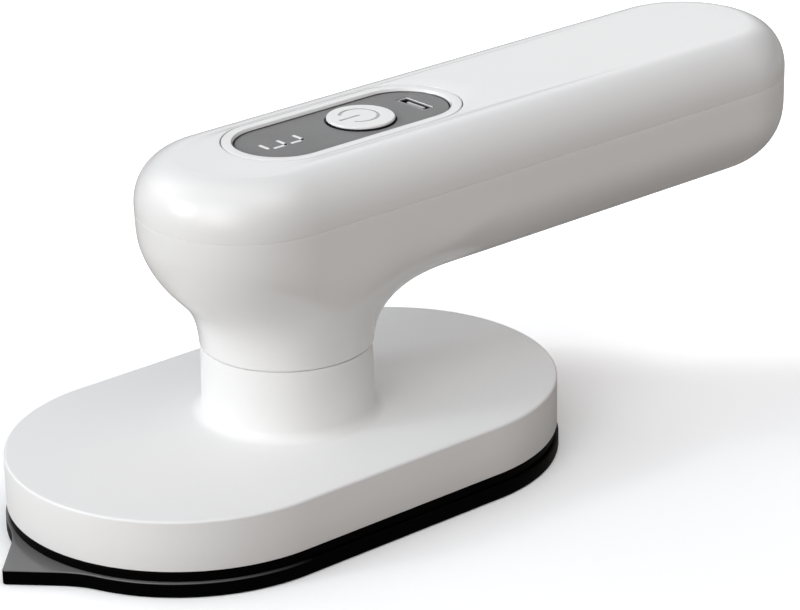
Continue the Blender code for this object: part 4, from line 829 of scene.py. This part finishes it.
def button_tool(name, panel, low, high):
    """The round hole for the button."""
    radius = panel.button_radius + panel.button_gap
    return grid_piece(name, turned_rings([(radius, low), (radius, high)], HOLE_COLUMNS,
                                         (panel.button_x, 0)))


def port_tool(name, panel, low, high, room, corner):
    """The hole for the charge port, larger than it by a little room."""
    return grid_piece(name, rounded_slot((panel.port_x, 0), panel.port_width + room,
                                         panel.port_depth + room, corner, (low, high)))


class PRESS_OT_handle(Operator):
    """Build the handle's two shells and the wells of its screws"""
    bl_idname = "heat_press.handle"
    bl_label = "Handle Shells"

    def execute(self, context):
        handle, neck = settings("handle"), settings("neck")
        white = plastic("gloss_white")
        self.lower_shell(handle, neck, white)
        self.upper_shell(handle, white)
        self.screws(white)
        return {"FINISHED"}

    def lower_shell(self, handle, neck, white):
        """Outer skin, rounded rim, lip, inner skin and the neck's floor as one closed surface."""
        rim = handle.parting - handle.seam_gap / 2
        lip_inset, lip_top = 0.0011, handle.parting + 0.0012
        lug_half, lug_width, lug_drop, step = 0.0010, 0.0024, 0.0023, 0.00001
        foot_round, floor_room, floor_start = 0.0002, 0.0005, 0.0002
        outer = lower_skin(handle, neck, SHELL_COLUMNS, 120, rim - handle.seam_round)
        normals = skin_normals(outer)
        angles = np.arctan2(outer[0, :, 1], outer[0, :, 0])
        rims = []
        for inset, height in (*upper_edge(0.0, rim, handle.seam_round, 4)[1:],
                              (lip_inset, rim), (lip_inset, lip_top), (handle.wall, lip_top)):
            row = outer[-1] - inset * normals[-1]
            row[:, 2] = height
            rims.append(row)
        inner = (outer - handle.wall * normals)[::3]
        inner = inner[inner[:, :, 2].min(axis=1) > neck.floor_high + floor_room][::-1]
        inside = neck.radius - handle.wall
        floor = axis_rings(angles, [
            (inside + floor_start, neck.floor_high),
            (neck.bore, neck.floor_high),
            (neck.bore, neck.floor_low),
            (neck.lug_radius - lug_half - step, neck.floor_low),
            (neck.lug_radius - lug_half, neck.floor_low),
            (neck.lug_radius + lug_half, neck.floor_low),
            (neck.lug_radius + lug_half + step, neck.floor_low),
            (inside, neck.floor_low),
            (inside, neck.seam),
            *arc_pairs((neck.radius - foot_round, neck.seam + foot_round),
                       (foot_round, -foot_round), QUARTER_TURN, 0, 4)[:-1],
        ], (4, 5), dent_at(angles, HALF_TURN, lug_width / 2 / neck.lug_radius, lug_drop))
        start = outer[outer[:, :, 2].min(axis=1) > neck.seam + foot_round]
        shell = grid_piece("handle_lower_skin", np.concatenate([start, rims, inner, floor]),
                           rows_closed=True)
        well, hole, mouth, seat, end = 0.00292, 0.0013, 0.040, 0.0521, 0.062
        pairs = [(well, mouth), (well, seat), (hole, seat), (hole, end)]
        carve(shell, [grid_piece(f"well_tool_{number}", turned_rings(pairs, 48, (x, y)))
                      for number, (x, y, *_) in enumerate(well_places())])
        finish_piece(shell, "handle", "white_gloss_plastic", white, "handle_lower_shell")

    def upper_shell(self, handle, white):
        """Rounded skin from the parting line to the top, the panel's pocket and the inner skin."""
        panel = settings("panel")
        rim = handle.parting + handle.seam_gap / 2
        shoulder = handle.top - handle.crown
        side = shoulder - handle.upper_height
        outer = around(handle, [
            *lower_edge(0.0, rim, handle.seam_round, 4),
            *((0.0, height) for height in np.linspace(rim + 2 * handle.seam_round, side, 5)),
            *arc_pairs((handle.upper_width, side), (-handle.upper_width, handle.upper_height),
                       0, QUARTER_TURN, 40)[1:],
        ], SHELL_COLUMNS)
        slope_foot, lip, pocket_step, skirt, cap_half = 0.0003, 0.00015, 0.004, 0.0014, 0.001
        reach = panel.rim_width + slope_foot + panel.groove
        floor_edge = panel.half_width + reach - cap_half
        floor_height = panel.bottom - PANEL_SEAT
        pocket = around(panel, [
            *arc_pairs((-lip, handle.top - lip), (lip, lip), QUARTER_TURN, 0, 4),
            (0.0, floor_height),
            (pocket_step, floor_height),
            (floor_edge, floor_height),
        ], SHELL_COLUMNS, reach)
        steps = 12
        top = blend_rings(outer[-1], pocket[0], steps)
        rise = smooth_step(np.linspace(0, 1, steps + 2)[1:-1])
        top[:, :, 2] = shoulder + handle.crown * rise[:, None]
        inner_floor = floor_height - PANEL_FLOOR
        ledge, ledge_height = 0.0008, handle.parting + 0.0015
        inner = around(handle, [
            *arc_pairs((handle.upper_width, side), (handle.wall - handle.upper_width,
                       handle.upper_height - handle.wall), QUARTER_TURN, 0, 16),
            (handle.wall, ledge_height),
            (ledge, ledge_height),
            (ledge, rim),
        ], SHELL_COLUMNS)
        under = around(panel, [(floor_edge, inner_floor), (-skirt, inner_floor),
                               (-skirt, shoulder - handle.wall)], SHELL_COLUMNS, reach)
        shell = grid_piece("handle_upper_skin",
                           np.concatenate([under, inner, outer, top, pocket]))
        low, high = inner_floor - TOOL_REACH, floor_height + TOOL_REACH
        middle, spacing, width, depth, corner = 0.0010, 0.0045, 0.0066, 0.0030, 0.0002
        windows = [grid_piece(f"window_tool_{number}", rounded_slot(
            (middle + spacing * (number - 1), 0), width, depth, corner, (low, high)))
            for number in range(3)]
        carve(shell, [button_tool("button_tool", panel, low, high),
                      port_tool("port_tool", panel, low, high, room=0.0006, corner=0.0006),
                      *windows])
        finish_piece(shell, "handle", "white_gloss_plastic", white, "handle_upper_shell")

    def screws(self, white):
        """Pan heads with a cross recess, and the cups of the wells that they sit in."""
        steel = metal("screw_steel", (0.60, 0.60, 0.61), 0.25, 1200.0)
        inside, outside = 0.0027, 0.0034
        for number, (x, y, low, high) in enumerate(well_places(), start=1):
            top, mouth = low + 0.0022, low - 0.0012
            cup = [(inside, top), (outside, top), (outside, mouth), (inside, mouth)]
            well = grid_piece(f"screw_well_{number}", turned_rings(cup, 64, (x, y)),
                              rows_closed=True)
            finish_piece(well, "handle", "white_gloss_plastic", white)
            screw = grid_piece(f"handle_screw_head_{number}", cross_screw((x, y), low, high))
            finish_piece(screw, "handle", "bright_steel", steel, f"handle_screw_{number}")


def cross_screw(place, low, high):
    """A pan-head screw that points up, its head crossed by a tapering recess.

    The head's face is a cap of a sphere. The recess is as deep as the smaller of two wedges
    allow: each arm is a bar along one diagonal that narrows and rises towards its end.
    """
    radius, thickness, shank, chamfer, dome = 0.0025, 0.0015, 0.0010, 0.0006, 0.00045
    arm_half, arm_taper, arm_end, bank, recess = 0.00036, 0.0018, 0.0019, 0.00010, 0.0009
    columns = 144
    angle = even_angles(columns)
    reach = np.linspace(0.03, 1.0, 34)[:, None] * radius
    x, y = reach * np.cos(angle), reach * np.sin(angle)
    across = np.minimum(np.abs(x), np.abs(y))
    along = np.maximum(np.abs(x), np.abs(y))
    half = arm_half * np.clip(1.15 - along / arm_taper, 0, 1)
    arm = np.clip((half - across) / bank, 0, 1)
    depth = dome * (reach / radius) ** 2 + recess * arm * np.sqrt(
        np.clip(1 - along / arm_end, 0, 1))
    face = np.stack([place[0] + x, place[1] + y, low + depth], axis=-1)
    body = turned_rings([(radius, low + chamfer), (radius, low + thickness),
                         (shank, low + thickness), (shank, high - chamfer),
                         (shank * 0.3, high)], columns, place)
    return np.concatenate([face, body])


# Control panel, button and port

def stroke_rings(start, end, width, low, high):
    """A flat bar with round ends between two plan points, with a rounded upper edge.

    It is made along X and then turned by the angle from the start to the end.
    """
    start, end = np.array(start), np.array(end)
    run = float(np.hypot(*(end - start)))
    angle = math.atan2(end[1] - start[1], end[0] - start[0])
    radius = width / 2
    lip = min((high - low) * 0.6, radius * 0.5)
    rings = outline_rings(-radius, run + radius, radius,
                          [(0.0, low), *upper_edge(0.0, high, lip, 3)], 40)
    x = start[0] + rings[..., 0] * math.cos(angle) - rings[..., 1] * math.sin(angle)
    y = start[1] + rings[..., 0] * math.sin(angle) + rings[..., 1] * math.cos(angle)
    return np.stack([x, y, rings[..., 2]], axis=-1)


def symbol_distance(x, y):
    """Distance of points from the button's symbol: an open ring and a bar into its opening."""
    radius, opening, bar_start, bar_end = 0.0041, math.radians(41), -0.0050, -0.0001
    on_ring = np.abs(np.arctan2(y, -x)) > opening
    to_end = np.hypot(x + radius * math.cos(opening), np.abs(y) - radius * math.sin(opening))
    ring = np.where(on_ring, np.abs(np.hypot(x, y) - radius), to_end)
    bar = np.hypot(x - np.clip(x, bar_start, bar_end), y)
    return np.minimum(ring, bar)


class PRESS_OT_panel(Operator):
    """Build the control panel, its white rim and the light marks"""
    bl_idname = "heat_press.panel"
    bl_label = "Control Panel"

    def execute(self, context):
        panel, handle = settings("panel"), settings("handle")
        middle, lip, flat_start = panel.half_width - 0.0005, 0.00012, 0.003
        plate = grid_piece("panel_plate", around(panel, [
            (middle, panel.bottom),
            (0.0, panel.bottom),
            *upper_edge(0.0, panel.top, lip, 3),
            (flat_start, panel.top),
            (middle, panel.top),
        ], RING_COLUMNS))
        low, high = panel.bottom - TOOL_REACH, panel.top + TOOL_REACH
        carve(plate, [button_tool("plate_button_tool", panel, low, high),
                      port_tool("plate_port_tool", panel, low, high, room=0.0002,
                                corner=0.0005)])
        finish_piece(plate, "handle", "grey_panel_plastic", plastic("panel_grey"),
                     "control_panel")
        self.rim(panel, handle)
        self.marks(panel)
        return {"FINISHED"}

    def rim(self, panel, handle):
        """White ring: rounded outer edge at the groove, flat top and a slope to the panel."""
        gap, lip, slope_round, slope_sunk = 0.00022, 0.00025, 0.0002, 0.0001
        outer = -gap - panel.rim_width
        ring = grid_piece("panel_rim", around(panel, [
            (-gap, panel.bottom),
            (-gap, panel.top - slope_sunk),
            *arc_pairs((-gap - panel.rim_slope, handle.top - slope_round),
                       (slope_round, slope_round), 0.3, QUARTER_TURN, 5),
            *upper_edge(outer, handle.top, lip, 6)[::-1],
            (outer, panel.bottom),
        ], RING_COLUMNS), rows_closed=True)
        white = dark_below(plastic("gloss_white", "rim_white"), panel.top + panel.rim_shadow, 0.10)
        finish_piece(ring, "handle", "white_gloss_plastic", white, "panel_bezel")

    def marks(self, panel):
        """Three light marks: a single bar, and two bars that turn a cut corner into a foot.

        Each stroke is given by its two ends, along and across the panel.
        """
        half, foot, cut = 0.00005, -0.0015, 0.0004
        lines = [((-0.0040, 0.00170), (-0.0040, -0.00070))]
        for x, start, heel in ((0.0005, 0.00150, -0.0026), (0.0050, 0.00170, 0.0020)):
            lines += [((x, start), (x, foot + cut)), ((x, foot + cut), (x - cut, foot)),
                      ((heel, foot), (x - cut, foot))]
        marks = grid_piece("light_marks", *(
            stroke_rings(start, end, panel.mark_width, panel.top - half, panel.top + half)
            for start, end in lines))
        finish_piece(marks, "handle", "grey_panel_plastic", plastic("mark_white"))


class PRESS_OT_button(Operator):
    """Build the push button with its engraved symbol"""
    bl_idname = "heat_press.button"
    bl_label = "Power Button"

    def execute(self, context):
        panel = settings("panel")
        radius, top = panel.button_radius, panel.button_top
        columns, edge, plunger = 432, 0.00036, 0.0015
        stroke, bank, engraving = 0.00024, 0.00014, 0.00014
        # Close rings over the symbol, and a few from there to the edge.
        reach = np.concatenate([np.linspace(0.0002, 0.0058, 62),
                                np.linspace(0.0060, radius - edge, 6)])[:, None]
        angle = even_angles(columns)
        x, y = reach * np.cos(angle), reach * np.sin(angle)
        near = symbol_distance(x - panel.symbol_x, y - panel.symbol_y)
        depth = engraving * (1 - smooth_step((near - stroke) / bank))
        face = np.stack([panel.button_x + x, y, top - depth], axis=-1)
        flange, clearance, flange_thickness = radius + 0.0013, 0.0003, 0.0012
        flange_high = panel.bottom - PANEL_SEAT - PANEL_FLOOR - clearance
        flange_low = flange_high - flange_thickness
        rest = turned_rings([
            *arc_pairs((radius - edge, top - edge), (edge, edge), QUARTER_TURN, 0, 8)[1:],
            (radius, flange_high),
            (flange, flange_high),
            (flange, flange_low),
            (plunger, flange_low),
            (plunger, BUTTON_BOX[0][2]),
        ], columns, (panel.button_x, 0))
        cap = grid_piece("button_cap", np.concatenate([face, rest]))
        finish_piece(cap, "button", "white_gloss_plastic", engraved_white(), "power_button")
        return {"FINISHED"}


class PRESS_OT_port(Operator):
    """Build the charge port's shell and tongue, and a black sleeve of painted shade inside it"""
    bl_idname = "heat_press.port"
    bl_label = "Charge Port"

    def execute(self, context):
        panel = settings("panel")
        width, depth, place = panel.port_width, panel.port_depth, (panel.port_x, 0)
        low, high = PORT_BOX[0][2], panel.top - 0.00006
        floor = high - 0.0060
        corner, wall, lip, hair, bottom = 0.0006, 0.00030, 0.00015, 0.00001, 0.0012
        shell = grid_piece("port_shell", rounded_slot(
            place, width, depth, corner,
            (low, low, high - lip, high, high, high - lip, floor, floor),
            (bottom, 0.0, 0.0, lip, wall - lip, wall, wall, bottom)))
        finish_piece(shell, "handle", "bright_steel",
                     metal("port_steel", (0.86, 0.86, 0.87), 0.34, 1500.0), "charge_port")
        around_wall = 2 * wall + 2 * hair
        # Painted shade: a black sleeve on the port's inner walls and floor stands for the shade
        # inside the opening.
        sleeve_corner, sleeve_top, thin, sleeve_end = 0.0004, high - 0.00042, 0.00006, 0.0010
        shade_sleeve = grid_piece("port_lining", rounded_slot(
            place, width - around_wall, depth - around_wall, sleeve_corner,
            (floor + hair, sleeve_top, sleeve_top, floor + 3 * hair, floor + 3 * hair),
            (0.0, 0.0, thin, thin, sleeve_end)))
        black = matt("port_black", (0.004, 0.004, 0.004), 0.6)
        finish_piece(shade_sleeve, "handle", "black_plastic", black)
        place = (panel.port_x + 0.0002, 0)
        stem_width, stem_depth, stem_corner, stem_top = 0.0050, 0.00030, 0.0001, high - 0.00062
        stem = grid_piece("port_tongue_stem", rounded_slot(
            place, stem_width, stem_depth, stem_corner, (floor + 4 * hair, stem_top)))
        finish_piece(stem, "handle", "black_plastic", black)
        tongue_width, tongue_depth, tongue_corner = 0.0054, 0.00070, 0.00012
        tongue_heights = (high - 0.0006, high - 0.0004, high - 0.00032)
        tongue = grid_piece("port_tongue", rounded_slot(
            place, tongue_width, tongue_depth, tongue_corner, tongue_heights, (0.0, 0.0, thin)))
        finish_piece(tongue, "handle", "bright_steel",
                     matt("tongue_resin", (0.52, 0.52, 0.51), 0.4))
        return {"FINISHED"}


# Pressing head

class PRESS_OT_cover(Operator):
    """Build the white cover with its collar"""
    bl_idname = "heat_press.cover"
    bl_label = "Head Cover"

    def execute(self, context):
        head = settings("head")
        columns, edge, lip, roof_start = 360, head.cover_edge, 0.00012, 0.0008
        outer = around(head, [
            *lower_edge(0.0, head.cover_bottom, lip, 3),
            (0.0, (head.cover_bottom + head.cover_top) / 2),
            *upper_edge(0.0, head.cover_top, edge, 10),
            (edge + roof_start, head.cover_top),
        ], columns)
        angles = np.arctan2(outer[-1][:, 1], outer[-1][:, 0])
        collar_pairs = self.collar_outside(head, lip)
        groove = len(collar_pairs)
        groove_outer, groove_inner, hair = 0.0162, 0.0136, 0.00001
        seat, bore, chamber = 0.0128, 0.0099, 0.0159
        step, floor = 0.0309, 0.0276
        ceiling_height = head.cover_top - head.wall
        collar_pairs += [
            (groove_outer + hair, head.collar_top), (groove_outer, head.collar_top),
            (groove_inner, head.collar_top), (groove_inner - hair, head.collar_top),
            (seat, head.collar_top), (seat, step), (bore, step), (bore, floor),
            (chamber, floor), (chamber, ceiling_height),
        ]
        groove_half, groove_depth = HALF_TURN / 2 + 0.108, 0.0021
        collar = axis_rings(angles, collar_pairs, (groove + 1, groove + 2),
                            dent_at(angles, HALF_TURN, groove_half, groove_depth))
        inner = around(head, [(head.wall + edge, ceiling_height),
                              (head.wall, ceiling_height - edge),
                              (head.wall, head.cover_bottom)], columns)
        roof = blend_rings(outer[-1], collar[0], 14)
        ceiling = blend_rings(collar[-1], inner[0], 6)
        cover = grid_piece("cover_shell", np.concatenate([outer, roof, collar, ceiling, inner]),
                           rows_closed=True)
        finish_piece(cover, "base", "white_satin_plastic", plastic("satin_white"), "base_cover")
        return {"FINISHED"}

    def collar_outside(self, head, lip):
        """Pairs of radius and height: fillet at the collar's foot, its wall and its top edge."""
        foot = head.collar_foot + head.collar_fillet
        fillet = arc_pairs((foot, head.cover_top + head.collar_fillet),
                           (head.collar_fillet, head.collar_fillet), -QUARTER_TURN,
                           -QUARTER_TURN - math.radians(84), 11)
        shares = np.linspace(0, 1, 6)[1:]
        wall = zip(between(fillet[-1][0], head.collar_radius, shares),
                   between(fillet[-1][1], head.collar_top - lip, shares))
        return [*fillet, *wall,
                *arc_pairs((head.collar_radius - lip, head.collar_top - lip), (lip, lip), 0,
                           QUARTER_TURN, 4)[1:]]


def plan_arc(middle, radius, start, end, count):
    """Plan points on an arc: middle plus radius times (cos, sin) of the angle."""
    turn = np.linspace(start, end, count)
    return np.array(middle) + radius * np.stack([np.cos(turn), np.sin(turn)], axis=-1)


def sole_outline(head, inset):
    """Plan points round the sole: two round ends, and a pointed tip with hollow flanks.

    A hollow arc touches both the front end's circle and the straight flank of the tip.
    """
    radius = head.half_width + head.proud - inset
    front = head.front + head.half_width
    rear = head.rear - head.half_width
    apex = -(radius + head.tip_reach)
    angle = math.radians(46.0)
    along = np.array((math.cos(angle), math.sin(angle)))
    out = np.array((-math.sin(angle), math.cos(angle)))
    start = np.array((apex, 0.0)) + head.tip_flare * out
    half = start @ along
    slide = -half - math.sqrt(half**2 - (start @ start - (radius + head.tip_flare) ** 2))
    middle = start + slide * along
    flare = plan_arc(middle, head.tip_flare, math.atan2(-middle[1], -middle[0]),
                     math.atan2(-out[1], -out[0]), 30)
    nose = plan_arc((apex + head.tip_point / math.sin(angle), 0.0), head.tip_point,
                    QUARTER_TURN + angle, HALF_TURN, 8)
    meeting = math.atan2(flare[0][1], flare[0][0])
    side = plan_arc((0.0, 0.0), radius, QUARTER_TURN, meeting, 60)[:-1]
    upper = np.concatenate([side, flare, nose])
    lower = upper[:-1][::-1] * np.array((1, -1))
    back = plan_arc((rear, 0.0), radius, -QUARTER_TURN, QUARTER_TURN, 120)
    return np.concatenate([back, np.concatenate([upper, lower]) + np.array((front, 0.0))])


class PRESS_OT_sole(Operator):
    """Build the pointed sole and the black shield ring above it"""
    bl_idname = "heat_press.sole"
    bl_label = "Sole and Shield"

    def execute(self, context):
        head = settings("head")
        low_round, high_round, face_start, face_end = 0.0004, 0.00025, 0.0002, 0.0006
        profile = np.array([
            *lower_edge(0.0, 0.0, low_round, 5),
            *upper_edge(0.0, head.sole_top, high_round, 5),
            (high_round + face_start, head.sole_top),
            (high_round + face_end, head.sole_top),
        ])
        plans = np.array([sole_outline(head, inset) for inset in profile[:, 0]])
        sole = grid_piece("sole_shoe", rings_at(plans[..., 0], plans[..., 1], profile[:, 1]))
        finish_piece(sole, "base", "black_coated_aluminium", sole_coat(), "sole_plate")
        self.shield(head)
        return {"FINISHED"}

    def shield(self, head):
        """Ring with a rounded outer edge, and the rim inside the cover."""
        edge, side, inner = 0.0002, head.shield_inset - head.proud, 0.0110
        rim, rim_top, rim_wall = head.wall + 0.0003, SHIELD_BOX[1][2], 0.0014
        ring = grid_piece("shield_ring", around(head, [
            *lower_edge(side, head.shield_bottom, edge, 3),
            *upper_edge(side, head.shield_top, edge, 3),
            (rim, head.shield_top),
            (rim, rim_top),
            (rim + rim_wall, rim_top),
            (rim + rim_wall, head.shield_top),
            (inner, head.shield_top),
            (inner, head.shield_bottom),
        ], RING_COLUMNS), rows_closed=True)
        finish_piece(ring, "base", "black_heat_resin",
                     coated_black("shield_black", "shield_black", 0.32), "heat_shield")


class PRESS_OT_inner(Operator):
    """Give the frame's inner pieces their materials"""
    bl_idname = "heat_press.inner"
    bl_label = "Inner Pieces"

    def execute(self, context):
        made = {}
        slots = {item["node"]: item["material_slot"] for item in frame["record"]["subparts"]}
        for name, node in frame["nodes"].items():
            slot = slots[name]
            if slot not in made:
                made[slot] = slot_finish(slot)
            for place in node.material_slots:
                place.material = made[slot]
        return {"FINISHED"}


# Stage

# Direction in degrees round and above the floor, width in degrees, power and colour.
LAMPS = (
    (160, 22, 30, 0.95, (0.94, 1.01, 1.03)),
    (160, 22, 12, 0.12, (0.94, 1.01, 1.03)),
    (200, 30, 60, 1.06, (0.92, 1.01, 1.10)),
    (120, 30, 60, 0.74, (1.03, 0.98, 1.02)),
    (0, 60, 60, 0.22, (0.90, 1.00, 1.15)),
    (270, 60, 60, 0.78, (1.01, 1.00, 0.98)),
    (45, 25, 60, 0.50, (1.0, 1.0, 1.0)),
    (321, 25, 60, 0.20, (1.15, 0.97, 0.88)),
    (0, 90, 60, 0.19, (1.0, 1.0, 1.0)),
    (200, 10, 60, 0.46, (1.32, 0.95, 0.72)),
)


def way_of(azimuth, elevation):
    """Unit vector towards a direction given in degrees; azimuth 0 is along +X."""
    turn, rise = math.radians(azimuth), math.radians(elevation)
    return Vector((math.cos(turn) * math.cos(rise), math.sin(turn) * math.cos(rise),
                   math.sin(rise)))


def fill_lamp(tree, start, end):
    """Tint times strength times the cosine, not below 0, raised to the sharpness."""
    place = add_node(tree, "TexCoord")
    nearness = add_node(tree, "VectorMath", operation="DOT_PRODUCT")
    front = add_node(tree, "Math", operation="MAXIMUM", second=0.0)
    lobe = add_node(tree, "Math", operation="POWER")
    level = add_node(tree, "Math", operation="MULTIPLY")
    tinted = add_node(tree, "VectorMath", operation="SCALE")
    join(tree, (place, "Generated", nearness, 0), (start, "Direction", nearness, 1),
         (nearness, "Value", front, 0), (front, "Value", lobe, 0),
         (start, "Sharpness", lobe, 1), (lobe, "Value", level, 0),
         (start, "Strength", level, 1), (start, "Colour", tinted, 0),
         (level, "Value", tinted, "Scale"), (tinted, "Vector", end, "Colour"))


def soft_lamp_group():
    """Glow round one direction: the cosine of the angle to it, raised to a power."""
    return shared_group("soft_lamp", (
        ("Direction", VECTOR, (0, 0, 1)), ("Sharpness", NUMBER, 10.0),
        ("Strength", NUMBER, 1.0), ("Colour", COLOUR, (1, 1, 1, 1))),
        (("Colour", COLOUR),), fill_lamp)


class PRESS_OT_stage(Operator):
    """Build the floor, the lamps, the background and the camera"""
    bl_idname = "heat_press.stage"
    bl_label = "Stage"

    def execute(self, context):
        stage = settings("stage")
        context.scene.view_settings.view_transform = "Standard"
        self.camera(context)
        self.world(context, stage)
        self.floor(stage)
        self.spark_lamp(stage)
        return {"FINISHED"}

    def camera(self, context):
        """Camera at the photograph's place, with its rotation given by its right, up and back."""
        lens = bpy.data.cameras.new("photo_camera")
        lens.lens = 155.34
        lens.sensor_width = 36.0
        lens.clip_end = 50.0
        item = new_object("photo_camera", lens)
        item.matrix_world = Matrix(((0.75461, 0.25920, -0.60281, -0.42112),
                                    (-0.65599, 0.27673, -0.70220, -0.52770),
                                    (-0.01519, 0.92533, 0.37886, 0.31589),
                                    (0.0, 0.0, 0.0, 1.0)))
        context.scene.camera = item

    def world(self, context, stage):
        """Soft lamps all round the object, and plain white behind it.

        A lobe's brightness is set so that it gives its power to a face turned towards it.
        """
        world = bpy.data.worlds.new("studio")
        context.scene.world = world
        world.use_nodes = True
        tree = world.node_tree
        tree.nodes.clear()
        total = add_node(tree, "RGB")
        total.outputs[0].default_value = (*[stage.world_light] * 3, 1)
        for azimuth, elevation, width, power, tint in LAMPS:
            sharpness = 4 / math.radians(width / 2) ** 2 - 2
            lamp = add_node(tree, "Group", node_tree=soft_lamp_group(),
                            Direction=way_of(azimuth, elevation), Sharpness=sharpness,
                            Strength=stage.light * power * (sharpness + 2) / FULL_TURN,
                            Colour=(*tint, 1))
            added = add_node(tree, "VectorMath", operation="ADD")
            join(tree, (total, 0, added, 0), (lamp, "Colour", added, 1))
            total = added
        light = add_node(tree, "Background", Strength=1.0)
        white = add_node(tree, "Background", Strength=1.0, Color=(1, 1, 1, 1))
        path, mixed = add_node(tree, "LightPath"), add_node(tree, "MixShader")
        end = add_node(tree, "OutputWorld")
        join(tree, (total, 0, light, "Color"), (path, "Is Camera Ray", mixed, "Fac"),
             (light, "Background", mixed, 1), (white, "Background", mixed, 2),
             (mixed, "Shader", end, "Surface"))

    def floor(self, stage):
        """A wide floor that looks white to the camera and keeps the object's soft shadow."""
        size, sunk = 12.0, 0.0001
        mesh = bpy.data.meshes.new("floor")
        mesh.from_pydata([(-size, -size, 0), (size, -size, 0), (size, size, 0), (-size, size, 0)],
                         [], [(0, 1, 2, 3)])
        item = new_object("floor", mesh)
        item.location = (0, 0, -sunk)
        made = bpy.data.materials.new("floor_paper")
        made.use_nodes = True
        tree = made.node_tree
        shader = tree.nodes["Principled BSDF"]
        shader.inputs["Roughness"].default_value = 0.9
        shader.inputs["Specular IOR Level"].default_value = 0.0
        shader.inputs["Base Color"].default_value = (*stage.floor_bounce, 1)
        seen = add_node(tree, "BsdfDiffuse", Color=(*[stage.floor_shade] * 3, 1))
        twice, lit = add_node(tree, "AddShader"), add_node(tree, "AddShader")
        place = add_node(tree, "TexCoord")
        # Painted light: the floor glows to the camera behind the object, washing its shadow out
        # there.
        behind = add_node(tree, "VectorMath", operation="DOT_PRODUCT", second=(0.651, 0.759, 0))
        fade = add_node(tree, "MapRange", interpolation_type="SMOOTHSTEP", From_Min=0.046,
                        From_Max=0.080, To_Max=stage.floor_glow)
        glow = add_node(tree, "Emission")
        path, mixed = add_node(tree, "LightPath"), add_node(tree, "MixShader")
        join(tree, (seen, "BSDF", twice, 0), (seen, "BSDF", twice, 1),
             (place, "Object", behind, 0), (behind, "Value", fade, "Value"),
             (fade, "Result", glow, "Strength"), (twice, "Shader", lit, 0),
             (glow, "Emission", lit, 1), (path, "Is Camera Ray", mixed, "Fac"),
             (shader, "BSDF", mixed, 1), (lit, "Shader", mixed, 2),
             (mixed, "Shader", tree.nodes["Material Output"], "Surface"))
        mesh.materials.append(made)

    def spark_lamp(self, stage):
        """A small far lamp whose reflection is the highlight."""
        lamp = bpy.data.lights.new("spark_lamp", "SUN")
        lamp.energy = stage.spark
        lamp.angle = math.radians(2.5)
        item = new_object("spark_lamp", lamp)
        item.rotation_euler = way_of(160.3, 22.3).to_track_quat("Z", "Y").to_euler()


class PRESS_PT_sidebar(Panel):
    """Sidebar panel with the steps that build the heat press."""
    bl_idname = "PRESS_PT_sidebar"
    bl_label = "Heat Press"
    bl_space_type = "VIEW_3D"
    bl_region_type = "UI"
    bl_category = "Heat Press"

    def draw(self, context):
        for step in STEPS:
            self.layout.operator(step.bl_idname)


STEPS = (
    PRESS_OT_stage,
    PRESS_OT_inner,
    PRESS_OT_handle,
    PRESS_OT_panel,
    PRESS_OT_button,
    PRESS_OT_port,
    PRESS_OT_cover,
    PRESS_OT_sole,
)
GROUPS = (HandleSizes, NeckSizes, PanelSizes, HeadSizes, Finishes, StageSettings, PressSettings)


def register():
    """Register the settings, the steps and the sidebar panel."""
    for item in (*GROUPS, *STEPS, PRESS_PT_sidebar):
        bpy.utils.register_class(item)
    bpy.types.Scene.heat_press = PointerProperty(type=PressSettings)


def unregister():
    """Remove everything that register added."""
    del bpy.types.Scene.heat_press
    for item in reversed((*GROUPS, *STEPS, PRESS_PT_sidebar)):
        bpy.utils.unregister_class(item)


def main():
    """Build all pieces in order."""
    register()
    bpy.ops.heat_press.stage()
    bpy.ops.heat_press.inner()
    bpy.ops.heat_press.handle()
    bpy.ops.heat_press.panel()
    bpy.ops.heat_press.button()
    bpy.ops.heat_press.port()
    bpy.ops.heat_press.cover()
    bpy.ops.heat_press.sole()


if __name__ == "__main__":
    main()
